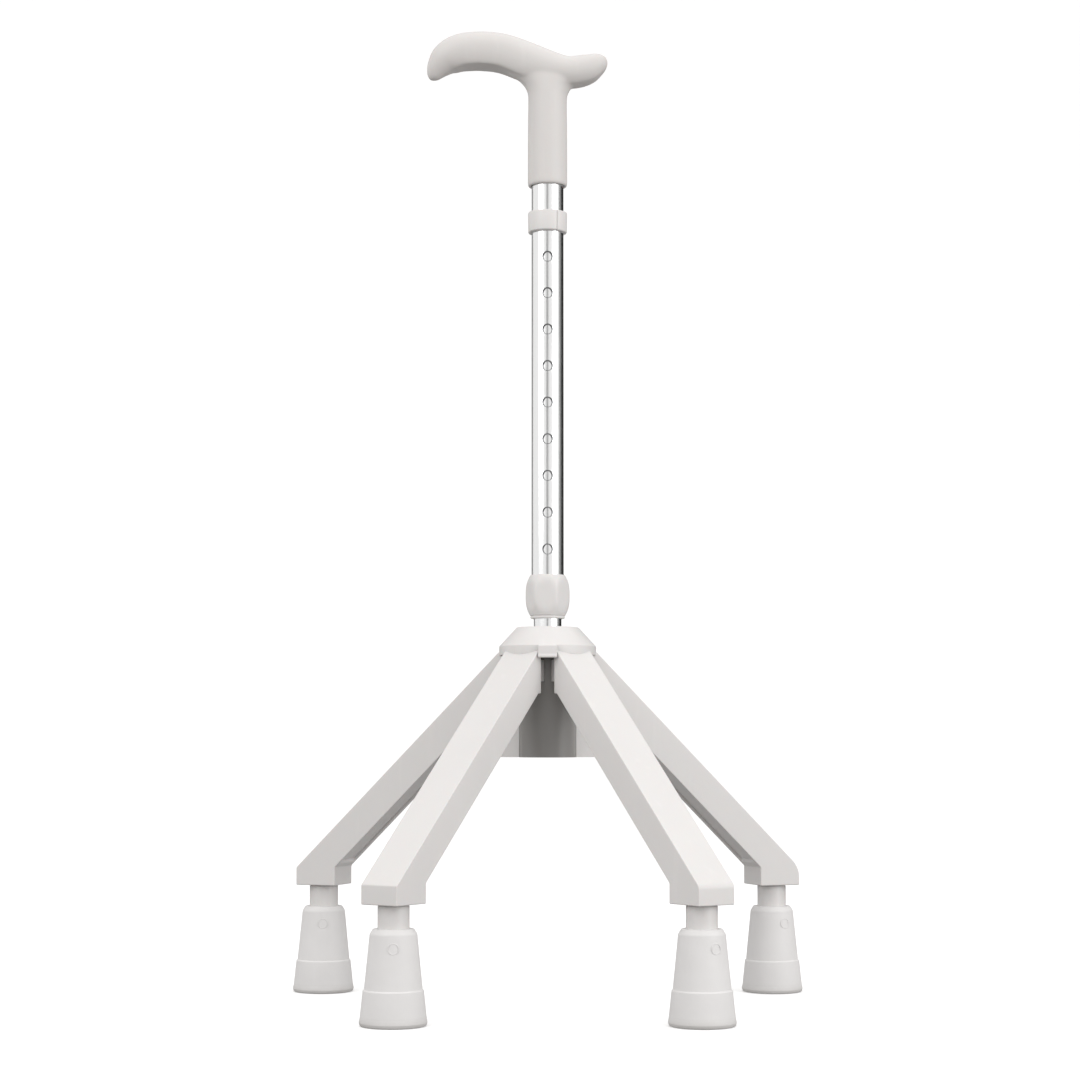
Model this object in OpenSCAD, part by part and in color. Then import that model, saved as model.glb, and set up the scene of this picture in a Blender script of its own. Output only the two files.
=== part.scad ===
// Quad walking cane: a derby handle on a telescoping tube that stands on four splayed legs.
// Millimetres, +Z up. The origin is on the floor, at the middle of the footprint's box.

/* [Footprint] */
// Radius of the circle through the four foot centres, about the shaft
foot_circle_r = 169; // [130:0.1:210]
// Angle of the front legs, from the left-right line towards the front
front_angle = 55.3; // [45:0.1:62]
// Angle of the rear legs, from the left-right line towards the back
rear_angle = 20; // [12:0.5:35]

/* [Rubber feet] */
// Height of a rubber foot
foot_h = 60; // [50:1:75]
// How far the sole spreads past the top of the lower band
foot_spread = 2.3; // [0.5:0.1:5]
// Step from the sleeve out to the lower band
foot_step = 1; // [0.5:0.1:2]
// How far the sleeve widens from its top down to the band
foot_taper = 3.6; // [1:0.1:6]
// Thickness of rubber round the post, under the rounded top
foot_wall = 4.5; // [3:0.1:7]
// Height of the lower band
foot_band_h = 22; // [16:0.5:28]
// Thickness of rubber under the washer
foot_sole = 12; // [8:0.5:16]
// Depth of the tread grooves
tread_depth = 2; // [1:0.5:4]
// Thickness of the steel washer under each post
washer_t = 1.5; // [1:0.25:3]
// Hole radius of the washer
washer_hole_r = 4.2; // [3:0.1:6]

/* [Posts] */
// Diameter of a post
post_d = 20; // [16:0.1:26]
// Length of post that shows between foot and leg
post_show = 15; // [8:0.5:30]
// Radius of the hollow in a post
post_bore_r = 5.5; // [5:0.1:7]
// Solid length at the top of a post
post_head = 9; // [6:0.5:12]
// Radius of the spigot on top of a post
spigot_r = 7; // [5:0.1:9]
// Height of the spigot
spigot_h = 9; // [5:0.5:11]

/* [Legs] */
// Width of a leg
leg_w = 28.5; // [23.5:0.1:36]
// Thickness of a leg, measured straight down
leg_drop = 29; // [26:0.5:36]
// Distance from the shaft to a leg's inner end
leg_in_r = 31; // [29:0.5:34]
// Length of the foot block at a leg's outer end
block_len = 30; // [28:0.5:36]
// Height of the block's outer face
block_h = 12.5; // [10:0.5:18]
// Wall thickness of a leg
leg_wall = 2.8; // [2:0.1:4]
// Radius of the outer knee on the right-hand legs
knee_r_right = 17; // [4:1:20]
// Radius of the outer knee on the left-hand legs
knee_r_left = 1.5; // [0.5:0.5:20]
// Depth at which the cover strip sits under the leg
cover_inset = 1.6; // [0.5:0.1:3]
// Thickness of the cover strip
cover_t = 2; // [1:0.1:3]

/* [Hub] */
// Height of the hub's top above the floor
hub_top_z = 254.6; // [212:0.1:300]
// Diameter of the hub's column
core_d = 38.5; // [34:0.5:42]
// Height of the hub from its lowest face to its top
hub_h = 89.3; // [75:0.1:100]
// Thickness of the floor under the inner tube
core_floor = 5.7; // [3:0.1:10]
// Diameter of the cap's flat top
cap_top_d = 42.4; // [38:0.1:50]
// Diameter of the cap's rim
cap_d = 66.8; // [62:0.1:76]
// Height of the cap
cap_h = 15.6; // [13:0.1:20]
// Height of the cap's straight rim
cap_rim_h = 2.4; // [1:0.1:5]
// Wall thickness of the cap
cap_wall = 2.4; // [1.5:0.1:4]
// Width of the cap's front and rear snap tabs
tab_w = 12.8; // [8:0.1:16]
// Depth that a snap tab hangs under the cap
tab_drop = 6.4; // [3:0.1:10]
// Width of the arms that plug into the legs
arm_w = 18; // [12:0.5:20]
// Distance from the shaft to an arm's tip
arm_r = 60; // [50:1:75]
// Width of the webs under the rear arms
web_w = 14; // [6:0.5:18]
// Distance from the shaft to a web's outer edge
web_r = 37; // [32:0.5:45]

/* [Tubes] */
// Outside diameter of the outer tube
tube_d = 22.2; // [18.5:0.05:27]
// Wall thickness of the outer tube
tube_wall = 1.25; // [1:0.05:1.3]
// Clearance between the inner tube and the outer tube
tube_gap = 0.325; // [0.3:0.025:0.5]
// Wall thickness of the inner tube
inner_wall = 1.2; // [1:0.05:1.6]
// Diameter of the height holes
hole_d = 6.6; // [5:0.1:8]
// Distance from one height hole to the next
hole_pitch = 25.4; // [20:0.1:31]
// Number of height holes, with the one behind the guard ring
hole_count = 10; // [6:1:10]
// Distance from the outer tube's lower end to the first hole
first_hole = 40; // [36:0.5:60]
// Inner tube above the button
inner_over = 19.5; // [17:0.5:30]
// Outer tube between the top hole and the handle
stem_gap = 25.4; // [18:0.1:40]

/* [Lock nut] */
// Height of the lock nut
nut_h = 30.2; // [26:0.1:40]
// How far the barrel bulges past its ends
nut_bulge = 3.3; // [2:0.1:5]
// Wall of the nut at its upper end
nut_wall = 1; // [0.8:0.1:2]
// Number of oval flats round the nut
nut_flats = 6; // [4:1:8]
// Distance of a flat outside the barrel's end radius
nut_flat_out = 1.6; // [1:0.1:2.5]
// Gap between the hub and the nut
nut_gap = 6; // [2:0.5:15]
// Height of the nut's lower lip
nut_lip = 2; // [1.5:0.1:4]
// Height of the collet ring
collet_h = 4.8; // [3:0.1:8]

/* [Guard ring] */
// Height of the guard ring
ring_h = 14.2; // [10:0.1:20]
// Wall thickness of the guard ring
ring_wall = 2.55; // [2:0.05:4]
// Angle from the front to the ring's split
ring_split_angle = 28.5; // [22:0.5:90]
// Width of the split
ring_split_w = 0.6; // [0.3:0.1:2]

/* [Snap button] */
// Distance that the button stands proud of the outer tube
button_proud = 1.1; // [0.5:0.1:1.5]
// Radius of the button's flange
button_flange_r = 4.6; // [3.8:0.1:5]
// Thickness of the button's flange
button_flange_t = 1; // [0.6:0.1:1.5]
// Width of the spring strip
spring_w = 5; // [3:0.1:6]
// Thickness of the spring strip
spring_t = 0.5; // [0.3:0.05:0.8]
// Length of the spring's legs below the button
spring_drop = 34; // [20:1:45]
// Spring above the button's middle
spring_over = 5; // [3:0.5:8]

/* [Handle] */
// Thickness of the stem round the tube
stem_wall = 2.7; // [2.2:0.1:5]
// Length of the straight stem
stem_len = 62; // [50:1:80]
// Depth of the tube's socket in the stem
socket_len = 54; // [35:1:70]
// Scale of the grip against its standard length of 126
grip_scale = 1; // [0.9:0.01:1.1]
// Front-to-back thickness of the grip against its standard of 28
grip_depth = 1; // [0.85:0.01:1.2]

/* [Fits] */
// Radial clearance of a running fit
run_fit = 0.08; // [0.04:0.01:0.1]
// Clearance between pieces that plug together
plug_fit = 0.12; // [0.05:0.01:0.3]

/* [Hidden] */
$fn = 96;
eps = 0.01;
seat_gap = 0.02;

PLASTIC = "#e3e0de";
RUBBER = "#dcd9d8";
TUBE = "#d5d7da";
STEEL = "#8f9296";
BRASS = "#b79a5b";
NYLON = "#efeee9";

// the directions of the legs about the shaft, counter-clockwise from +X
FRONT_LEFT = 180 + front_angle;
FRONT_RIGHT = -front_angle;
REAR_LEFT = 180 - rear_angle;
REAR_RIGHT = rear_angle;
LEG_ANGLES = [FRONT_LEFT, FRONT_RIGHT, REAR_LEFT, REAR_RIGHT];

// the shaft stands behind the footprint's middle, because the front legs reach further
shaft_y = foot_circle_r * (sin(front_angle) - sin(rear_angle)) / 2;

// heights up the base
leg_end_z = foot_h + post_show;
core_z = hub_top_z - hub_h;
cap_z = hub_top_z - cap_h;
leg_top_z = cap_z - 1.5;
inner_z = core_z + core_floor;
neck_r = 14;
// the column's seam is turned to where no arm or web meets it
column_seam = 118;

// the leg's slope, from its inner end down to the block's outer face
leg_out_r = foot_circle_r + block_len / 2;
block_in_r = foot_circle_r - block_len / 2;
leg_fall = (leg_top_z - leg_end_z - block_h) / (leg_out_r - leg_in_r);
leg_angle = atan(leg_fall);
function leg_top(r) = leg_top_z - (r - leg_in_r) * leg_fall;
function leg_bottom(r) = leg_top(r) - leg_drop;
function down(thick) = thick / cos(leg_angle);

// the socket that takes a hub arm
socket_roof = 4.2;
socket_base = 6;
socket_end_r = arm_r + 3;
channel_end_r = block_in_r - leg_wall;
leg_screw_r = (leg_in_r + arm_r) / 2;

// heights up the shaft
nut_z = hub_top_z + nut_gap;
tube_z = nut_z + nut_lip + collet_h + 0.6;
function hole_z(i) = tube_z + first_hole + i * hole_pitch;
button_z = hole_z(hole_count - 1);
stem_z = button_z + stem_gap;
tube_top_z = stem_z + socket_len - 2;
inner_top_z = button_z + inner_over;
tube_r = tube_d / 2;
tube_in_r = tube_r - tube_wall;
inner_r = tube_in_r - tube_gap;
stem_r = tube_r + stem_wall;
nut_end_r = tube_r + nut_wall;
nut_r = nut_end_r + nut_bulge;
nut_flat_r = nut_end_r + nut_flat_out;
inner_in_r = inner_r - inner_wall;
button_r = hole_d / 2 - 0.1;
core_r = core_d / 2;
post_r = post_d / 2;
foot_top_r = post_r + foot_wall;
foot_waist_r = foot_top_r + foot_taper;
foot_band_r = foot_waist_r + foot_step;
foot_flare_r = foot_band_r + foot_spread;
post_z = foot_sole + washer_t;
spigot_seat_z = leg_end_z - post_head;

// the button's flange lies against the inside of the inner tube
flange_y = -sqrt(inner_in_r * inner_in_r - button_flange_r * button_flange_r) + 0.06;
spring_y = flange_y + button_flange_t + 0.03;

// the screws: shank radius, head radius and head height
leg_screw = [2.3, 4.2, 2.6];
post_screw = [2.5, 4.4, 3];
hub_screw_size = [2.4, 4.2, 2.6];
stem_screw = [1.9, 3.4, 1.5];
hub_screw_z = core_z + 22;
stem_screw_z = stem_z + 30;

// the grip's stations: x, height over the stem's lower edge, half height, half depth
GRIP = [
    [-81.6, 76.4, 1.0, 1.6],
    [-80.6, 79.6, 3.6, 4.6],
    [-76.8, 86.2, 7.0, 8.6],
    [-71.0, 92.8, 10.2, 11.6],
    [-60.5, 96.6, 11.9, 13.4],
    [-45.5, 97.7, 12.3, 14.0],
    [-31.0, 96.0, 12.5, 14.0],
    [-16.5, 90.5, 12.9, 14.0],
    [-1.0, 84.6, 12.6, 13.9],
    [14.0, 82.0, 10.6, 13.4],
    [26.5, 83.6, 9.9, 12.4],
    [34.5, 86.2, 8.6, 10.6],
    [39.2, 88.1, 5.4, 7.2],
    [41.4, 89.0, 1.2, 2.2]
];
grip_z = 80;
// the length of stem that the stations are drawn for
grip_stem_len = 62;
stem_flat = stem_r - 0.6;

// places children at the shaft
module at_shaft(z = 0) {
    translate([0, shaft_y, z])
        children();
}

// turns children so that their +X runs out along one leg
module at_leg(angle) {
    at_shaft()
        rotate([0, 0, angle])
            children();
}

// an outline of distance and height, made a plate of a given width along a leg
module plate(width, outline) {
    rotate([90, 0, 0])
        linear_extrude(width, center = true)
            polygon(outline);
}

// a tube or ring about the Z axis
module ring(r_out, r_in, h) {
    difference() {
        cylinder(r = r_out, h = h);
        translate([0, 0, -1])
            cylinder(r = r_in, h = h + 2);
    }
}

// a screw that points up, with its head's upper face just short of its seat at zero
module screw(size, length) {
    difference() {
        union() {
            translate([0, 0, -size[2] - seat_gap])
                cylinder(r = size[1], h = size[2]);
            translate([0, 0, -2 * seat_gap])
                cylinder(r = size[0], h = length);
        }
        for (turn = [0, 90])
            rotate([0, 0, turn])
                translate([-size[1] * 0.6, -0.5, -size[2] - 1])
                    cube([size[1] * 1.2, 1, 1 + size[2] * 0.5]);
    }
}

/* ---------- handle ---------- */

// a smooth curve through the stations
function between(p, i, t) =
    let (
        a = p[max(i - 1, 0)],
        b = p[i],
        c = p[min(i + 1, len(p) - 1)],
        d = p[min(i + 2, len(p) - 1)]
    )
    0.5 * (2 * b + (c - a) * t + (2 * a - 5 * b + 4 * c - d) * t * t
        + (3 * b - a - 3 * c + d) * t * t * t);
grip_steps = 3;
GRIP_LINE = [
    for (i = [0:len(GRIP) - 2]) for (k = [0:grip_steps - 1]) between(GRIP, i, k / grip_steps),
    GRIP[len(GRIP) - 1]
];
grip_sides = 24;

// the direction of the curve at one ring, in the X-Z plane
function heading(i) =
    let (
        a = GRIP_LINE[max(i - 1, 0)],
        b = GRIP_LINE[min(i + 1, len(GRIP_LINE) - 1)],
        step = [b[0] - a[0], b[1] - a[1]]
    )
    step / norm(step);

// one ring of the grip, a little flatter below than above
function grip_ring(i) =
    let (s = GRIP_LINE[i], d = heading(i))
    [for (k = [0:grip_sides - 1])
        let (
            a = 360 * k / grip_sides,
            up = s[2] * sign(sin(a)) * pow(abs(sin(a)), sin(a) < 0 ? 0.86 : 0.95),
            out = s[3] * sign(cos(a)) * pow(abs(cos(a)), 0.9)
        )
        [s[0] - d[1] * up, out, s[1] + d[0] * up]];

module grip() {
    points = [for (i = [0:len(GRIP_LINE) - 1]) each grip_ring(i)];
    last = len(GRIP_LINE) - 1;
    n = grip_sides;
    faces = [
        [for (k = [0:n - 1]) k],
        [for (k = [n - 1:-1:0]) last * n + k],
        for (i = [0:last - 1]) for (k = [0:n - 1])
            let (m = (k + 1) % n)
            each [
                [i * n + k, (i + 1) * n + k, (i + 1) * n + m],
                [i * n + k, (i + 1) * n + m, i * n + m]
            ]
    ];
    polyhedron(
        [for (p = points) [p[0] * grip_scale, p[1] * grip_depth, grip_z + (p[2] - grip_z) * grip_scale
            + stem_len - grip_stem_len]],
        faces
    );
}

// the stem flares sideways where it meets the grip, and stays flat at the front and back
module stem() {
    r = stem_r;
    rotate_extrude()
        polygon([
            [0, 0],
            [r - 1.6, 0],
            [r - 0.5, 0.5],
            [r, 1.6],
            [r, stem_len + 8],
            [r - 4, stem_len + 22],
            [0, stem_len + 22]
        ]);
    intersection() {
        rotate_extrude()
            polygon([
                [0, stem_len],
                [r, stem_len],
                [r + 0.6, stem_len + 4],
                [r + 1.9, stem_len + 8],
                [r + 4.2, stem_len + 11.5],
                [r + 6.4, stem_len + 14],
                [r - 4, stem_len + 22],
                [0, stem_len + 22]
            ]);
        translate([-2 * stem_r, -stem_flat, 0])
            cube([4 * stem_r, 2 * stem_flat, stem_len + 30]);
    }
}

module handle_grip() {
    color(PLASTIC)
        difference() {
            at_shaft(stem_z)
                union() {
                    grip();
                    stem();
                }
            at_shaft(stem_z - 1)
                cylinder(r = tube_r + run_fit, h = socket_len + 1);
            at_shaft(stem_screw_z)
                rotate([90, 0, 0]) {
                    translate([0, 0, -2 * stem_r])
                        cylinder(r = stem_screw[1] + plug_fit, h = stem_r + stem_screw[2] + 0.1);
                    translate([0, 0, -2 * stem_r])
                        cylinder(r = stem_screw[0] + plug_fit, h = 2 * stem_r);
                }
        }
}

// the screw comes in from behind, through the stem and the tube's rear wall
module handle_screw() {
    color(STEEL)
        at_shaft(stem_screw_z)
            translate([0, stem_r - stem_screw[2], 0])
                rotate([90, 0, 0])
                    screw(stem_screw, stem_r - stem_screw[2] - tube_in_r + 2.4);
}

/* ---------- upper tube ---------- */

module outer_tube() {
    color(TUBE)
        difference() {
            at_shaft(tube_z)
                ring(tube_r, tube_in_r, tube_top_z - tube_z);
            for (i = [0:hole_count - 1])
                at_shaft(hole_z(i))
                    rotate([90, 0, 0])
                        cylinder(d = hole_d, h = tube_r + 1);
            at_shaft(stem_screw_z)
                rotate([-90, 0, 0])
                    cylinder(r = stem_screw[0] + plug_fit, h = tube_r + 1);
        }
}

// a split plastic ring over the top hole, with a pocket for the button's head
module guard_ring() {
    color(PLASTIC)
        difference() {
            at_shaft(button_z - ring_h / 2)
                rotate_extrude()
                    polygon([
                        [tube_r + 0.02, 0],
                        [tube_r + ring_wall - 1, 0],
                        [tube_r + ring_wall, 1],
                        [tube_r + ring_wall, ring_h - 0.8],
                        [tube_r + ring_wall - 0.8, ring_h],
                        [tube_r + 0.02, ring_h]
                    ]);
            at_shaft(button_z)
                rotate([90, 0, 0])
                    cylinder(r = hole_d / 2 + 0.6, h = tube_r + button_proud + 0.5);
            at_shaft(button_z - ring_h / 2 - 1)
                rotate([0, 0, ring_split_angle - 90])
                    translate([0, -ring_split_w / 2, 0])
                        cube([tube_r + ring_wall + 1, ring_split_w, ring_h + 2]);
        }
}

/* ---------- lock nut ---------- */

// the cone that squeezes the collet: its outer radius at a height over the lip
collet_out_r = tube_r - 0.3;
collet_in_r = inner_r + run_fit;
function cone_r(z) = collet_out_r - 0.7 * (1 - z / collet_h);

// a split nylon ring between the outer tube's end and the nut's cone
module collet_ring() {
    color(NYLON)
        difference() {
            at_shaft(nut_z + nut_lip + 0.3)
                rotate_extrude()
                    polygon([
                        [collet_in_r, 0],
                        [cone_r(0), 0],
                        [cone_r(collet_h), collet_h],
                        [collet_in_r, collet_h]
                    ]);
            at_shaft(nut_z)
                translate([0, -0.6, 0])
                    cube([tube_r + 1, 1.2, nut_lip + collet_h + 2]);
        }
}

// the nut's barrel bulges on one arc between its ends
nut_arc_r = (nut_h * nut_h / 4 + nut_bulge * nut_bulge) / (2 * nut_bulge);
function barrel_r(z) =
    nut_r - nut_arc_r + sqrt(nut_arc_r * nut_arc_r - pow(z - nut_h / 2, 2));

module lock_nut() {
    steps = 14;
    color(PLASTIC)
        at_shaft(nut_z)
            difference() {
                rotate_extrude()
                    polygon([
                        [0, 0],
                        for (i = [0:steps]) [barrel_r(nut_h * i / steps), nut_h * i / steps],
                        [0, nut_h]
                    ]);
                for (i = [0:nut_flats - 1])
                    rotate([0, 0, i * 360 / nut_flats - 96])
                        translate([nut_flat_r, -nut_r, -1])
                            cube([2 * nut_r, 2 * nut_r, nut_h + 2]);
                translate([0, 0, -1])
                    cylinder(r = inner_r + 0.4, h = nut_h + 2);
                translate([0, 0, nut_lip])
                    cylinder(r1 = cone_r(0) + 0.15, r2 = tube_r + run_fit, h = collet_h + 0.6);
                translate([0, 0, nut_lip + collet_h + 0.6 - eps])
                    cylinder(r = tube_r + run_fit, h = nut_h);
            }
}

/* ---------- inner tube and snap button ---------- */

module inner_tube() {
    color(TUBE)
        difference() {
            at_shaft(inner_z)
                ring(inner_r, inner_in_r, inner_top_z - inner_z);
            at_shaft(button_z)
                rotate([90, 0, 0])
                    cylinder(d = hole_d, h = inner_r + 1);
            at_shaft(hub_screw_z)
                rotate([-90, 0, 0])
                    cylinder(r = hub_screw_size[0] + plug_fit, h = inner_r + 1);
        }
}

// a plastic bush on the inner tube's top end, which runs in the outer tube
module glide_bush() {
    color(NYLON)
        at_shaft(inner_top_z) {
            difference() {
                union() {
                    cylinder(r = tube_in_r - run_fit, h = 6);
                    translate([0, 0, -8])
                        cylinder(r = inner_in_r - 0.05, h = 8 + eps);
                }
                translate([0, 0, -9])
                    cylinder(r = inner_in_r - 2, h = 16);
            }
        }
}

module snap_button() {
    stem = tube_r + button_proud - 0.9;
    color(BRASS)
        at_shaft(button_z)
            rotate([90, 0, 0])
                rotate_extrude()
                    polygon([
                        [0, -flange_y - button_flange_t],
                        [button_flange_r, -flange_y - button_flange_t],
                        [button_flange_r, -flange_y],
                        [button_r, -flange_y],
                        [button_r, stem],
                        for (a = [15:15:75]) [button_r * cos(a), stem + 0.9 * sin(a)],
                        [0, stem + 0.9]
                    ]);
}

// a strip bent into a narrow U: one leg behind the button, the other on the tube's rear wall
module snap_spring() {
    back = inner_in_r - 0.7;
    half = (back - spring_y) / 2;
    mid = (back + spring_y) / 2;
    low = -spring_drop;
    color(STEEL)
        at_shaft(button_z)
            rotate([90, 0, 90])
                linear_extrude(spring_w, center = true)
                    polygon([
                        [spring_y, spring_over],
                        [spring_y, low],
                        for (a = [195:15:345]) [mid + half * cos(a), low + half * sin(a)],
                        [back, low],
                        [back, spring_over],
                        [back - spring_t, spring_over],
                        [back - spring_t, low],
                        for (a = [345:-15:195])
                            [mid + (half - spring_t) * cos(a), low + (half - spring_t) * sin(a)],
                        [spring_y + spring_t, low],
                        [spring_y + spring_t, spring_over]
                    ]);
}

/* ---------- hub ---------- */

// the front legs' inner corners stand this far in front of the shaft
leg_corner_x = leg_in_r * cos(front_angle) - leg_w / 2 * sin(front_angle);
leg_corner_y = leg_in_r * sin(front_angle) + leg_w / 2 * cos(front_angle);
// a tab stands clear of the legs' side faces, which spread apart towards the front
tab_clear = 0.3;
tab_forward = (tab_w / 2 + tab_clear - leg_corner_x) * tan(front_angle);
tab_y = leg_corner_y + max(1, tab_forward);
tab_t = 1.9;

// a tab hangs from the cap's rim in front of the gap between two legs
module snap_tab() {
    translate([-tab_w / 2, -tab_y - tab_t, cap_z - tab_drop])
        cube([tab_w, tab_t, tab_drop + cap_rim_h]);
    translate([-tab_w / 2, -tab_y - tab_t, cap_z])
        cube([tab_w, tab_y + tab_t - cap_d / 2 + 4, cap_rim_h]);
}

module hub_cap() {
    rise = cap_h - cap_rim_h;
    lean = (cap_d - cap_top_d) / 2;
    color(PLASTIC)
        difference() {
            union() {
                at_shaft(cap_z)
                    rotate_extrude()
                        polygon([
                            [0, 0],
                            [cap_d / 2, 0],
                            [cap_d / 2, cap_rim_h],
                            [cap_top_d / 2 + 0.6, cap_h - 0.6 * rise / lean],
                            [cap_top_d / 2 - 0.4, cap_h],
                            [0, cap_h]
                        ]);
                at_shaft()
                    snap_tab();
                at_shaft()
                    rotate([0, 0, 180])
                        snap_tab();
            }
            at_shaft(cap_z - 1)
                rotate_extrude()
                    polygon([
                        [0, 0],
                        [cap_d / 2 - cap_wall, 0],
                        [cap_d / 2 - cap_wall, 1 + cap_rim_h - 1],
                        [cap_top_d / 2 - cap_wall + 1, 1 + cap_h - cap_wall],
                        [0, 1 + cap_h - cap_wall]
                    ]);
            at_shaft(cap_z)
                cylinder(r = inner_r + plug_fit, h = cap_h + 1);
        }
}

// the outline of an arm, in distance and height along its leg
function arm_outline(grow) = [
    [core_r - 8, leg_top(leg_in_r) - down(socket_roof) + grow],
    [leg_in_r, leg_top(leg_in_r) - down(socket_roof) + grow],
    [arm_r + grow, leg_top(arm_r) - down(socket_roof) + grow],
    [arm_r + grow, leg_bottom(arm_r) + down(socket_base) - grow],
    [leg_in_r, leg_bottom(leg_in_r) + down(socket_base) - grow],
    [core_r - 8, leg_bottom(leg_in_r) + down(socket_base) - grow]
];

// a web carries a rear arm down to the foot of the column
function web_outline() = [
    [core_r - 8, core_z],
    [web_r, core_z],
    [web_r, leg_bottom(web_r) - 0.4],
    [leg_in_r - 0.3, leg_bottom(leg_in_r - 0.3) - 0.4],
    [leg_in_r - 0.3, leg_bottom(leg_in_r) + down(socket_base) + 3],
    [core_r - 8, leg_bottom(leg_in_r) + down(socket_base) + 3]
];

module hub_core() {
    color(PLASTIC)
        difference() {
            union() {
                at_shaft(core_z)
                    rotate([0, 0, column_seam])
                        cylinder(r = core_r, h = leg_top_z - core_z);
                at_shaft(leg_top_z - 1)
                    cylinder(r = neck_r, h = hub_top_z - cap_wall - leg_top_z + 1);
                for (angle = LEG_ANGLES)
                    at_leg(angle)
                        plate(arm_w, arm_outline(0));
                for (angle = [REAR_LEFT, REAR_RIGHT])
                    at_leg(angle)
                        plate(web_w, web_outline());
            }
            at_shaft(inner_z)
                cylinder(r = inner_r + 0.05, h = hub_h);
            at_shaft(hub_screw_z)
                rotate([-90, 0, 0]) {
                    cylinder(r = hub_screw_size[0] + plug_fit, h = core_r + 1);
                    translate([0, 0, core_r - hub_screw_size[2] - 0.6])
                        cylinder(r = hub_screw_size[1] + plug_fit, h = core_r);
                }
            for (angle = LEG_ANGLES)
                at_leg(angle)
                    at_leg_screw()
                        cylinder(r = leg_screw[0] + 0.02, h = 40);
        }
}

// the screw comes in from behind, through the column and the inner tube's rear wall
module hub_screw() {
    color(STEEL)
        at_shaft(hub_screw_z)
            translate([0, core_r - hub_screw_size[2] - 0.6 + hub_screw_size[2], 0])
                rotate([90, 0, 0])
                    translate([0, 0, hub_screw_size[2]])
                        screw(hub_screw_size, core_r - 0.6 - hub_screw_size[2] - inner_in_r + 2.4);
}

/* ---------- legs ---------- */

// the seat of a leg screw's head, square to the leg's slope
head_depth = 3.2;
module at_leg_screw() {
    translate([leg_screw_r, 0, leg_bottom(leg_screw_r)])
        rotate([0, leg_angle, 0])
            translate([0, 0, head_depth])
                children();
}

// the outer knee is an arc that touches the slope and the block's outer face
function knee(r) =
    let (
        turn = 90 - leg_angle,
        reach = r * tan(turn / 2),
        centre = [leg_out_r - r, leg_end_z + block_h - reach],
        steps = 8
    )
    [for (i = [0:steps]) let (a = turn * (1 - i / steps))
        [centre[0] + r * cos(a), centre[1] + r * sin(a)]];

function leg_outline(knee_r) = [
    [leg_in_r, leg_top_z],
    each knee(min(knee_r, (block_h - 1) / tan((90 - leg_angle) / 2))),
    [leg_out_r, leg_end_z],
    [block_in_r, leg_end_z],
    [block_in_r, max(leg_bottom(block_in_r), leg_end_z + 1)],
    [leg_in_r, leg_top_z - leg_drop]
];

// the hollow under the leg, open below up to the block
function channel_outline() = [
    [socket_end_r, leg_top(socket_end_r) - down(leg_wall)],
    [block_in_r + 4, leg_top(block_in_r + 4) - down(leg_wall)],
    [block_in_r + 4, leg_bottom(block_in_r) + 5],
    [channel_end_r, leg_bottom(channel_end_r) + 5],
    [channel_end_r, leg_bottom(channel_end_r) - 20],
    [socket_end_r, leg_bottom(socket_end_r) - 20]
];

module leg(knee_r) {
    color(PLASTIC)
        difference() {
            plate(leg_w, leg_outline(knee_r));
            plate(leg_w - 2 * leg_wall, channel_outline());
            plate(arm_w + 2 * plug_fit, arm_outline(plug_fit));
            at_leg_screw() {
                cylinder(r = leg_screw[0] + plug_fit, h = socket_base);
                translate([0, 0, -20])
                    cylinder(r = leg_screw[1] + 0.3, h = 20);
            }
            translate([foot_circle_r, 0, leg_end_z - 1]) {
                cylinder(r = spigot_r + 0.05, h = spigot_h + 1.1);
                cylinder(r = post_screw[0] + 0.02, h = spigot_h + 9);
            }
        }
}

// a strip that closes the channel, set in a little from the leg's lower edges
module cover() {
    low = down(cover_inset);
    high = down(cover_inset + cover_t);
    from = socket_end_r + 0.3;
    to = channel_end_r - 0.3;
    color(PLASTIC)
        plate(leg_w - 2 * leg_wall - 0.2, [
            [from, leg_bottom(from) + low],
            [to, leg_bottom(to) + low],
            [to, leg_bottom(to) + high],
            [from, leg_bottom(from) + high]
        ]);
}

module leg_front_left() {
    at_leg(FRONT_LEFT)
        leg(knee_r_left);
}

module leg_front_right() {
    at_leg(FRONT_RIGHT)
        leg(knee_r_right);
}

module leg_rear_left() {
    at_leg(REAR_LEFT)
        leg(knee_r_left);
}

module leg_rear_right() {
    at_leg(REAR_RIGHT)
        leg(knee_r_right);
}

module cover_front_left() {
    at_leg(FRONT_LEFT)
        cover();
}

module cover_front_right() {
    at_leg(FRONT_RIGHT)
        cover();
}

module cover_rear_left() {
    at_leg(REAR_LEFT)
        cover();
}

module cover_rear_right() {
    at_leg(REAR_RIGHT)
        cover();
}

module leg_screws() {
    color(STEEL)
        for (angle = LEG_ANGLES)
            at_leg(angle)
                at_leg_screw()
                    screw(leg_screw, 13);
}

/* ---------- posts and feet ---------- */

module post() {
    color(PLASTIC)
        translate([foot_circle_r, 0, 0])
            difference() {
                union() {
                    translate([0, 0, post_z])
                        cylinder(r = post_r, h = leg_end_z - post_z);
                    translate([0, 0, leg_end_z - eps])
                        cylinder(r = spigot_r, h = spigot_h);
                }
                translate([0, 0, post_z - 1])
                    cylinder(r = post_bore_r, h = spigot_seat_z - post_z + 1);
                cylinder(r = post_screw[0] + plug_fit, h = leg_end_z + spigot_h + 1);
            }
}

module post_front_left() {
    at_leg(FRONT_LEFT)
        post();
}

module post_front_right() {
    at_leg(FRONT_RIGHT)
        post();
}

module post_rear_left() {
    at_leg(REAR_LEFT)
        post();
}

module post_rear_right() {
    at_leg(REAR_RIGHT)
        post();
}

module post_screws() {
    color(STEEL)
        for (angle = LEG_ANGLES)
            at_leg(angle)
                translate([foot_circle_r, 0, spigot_seat_z])
                    screw(post_screw, post_head + spigot_h + 7);
}

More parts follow.
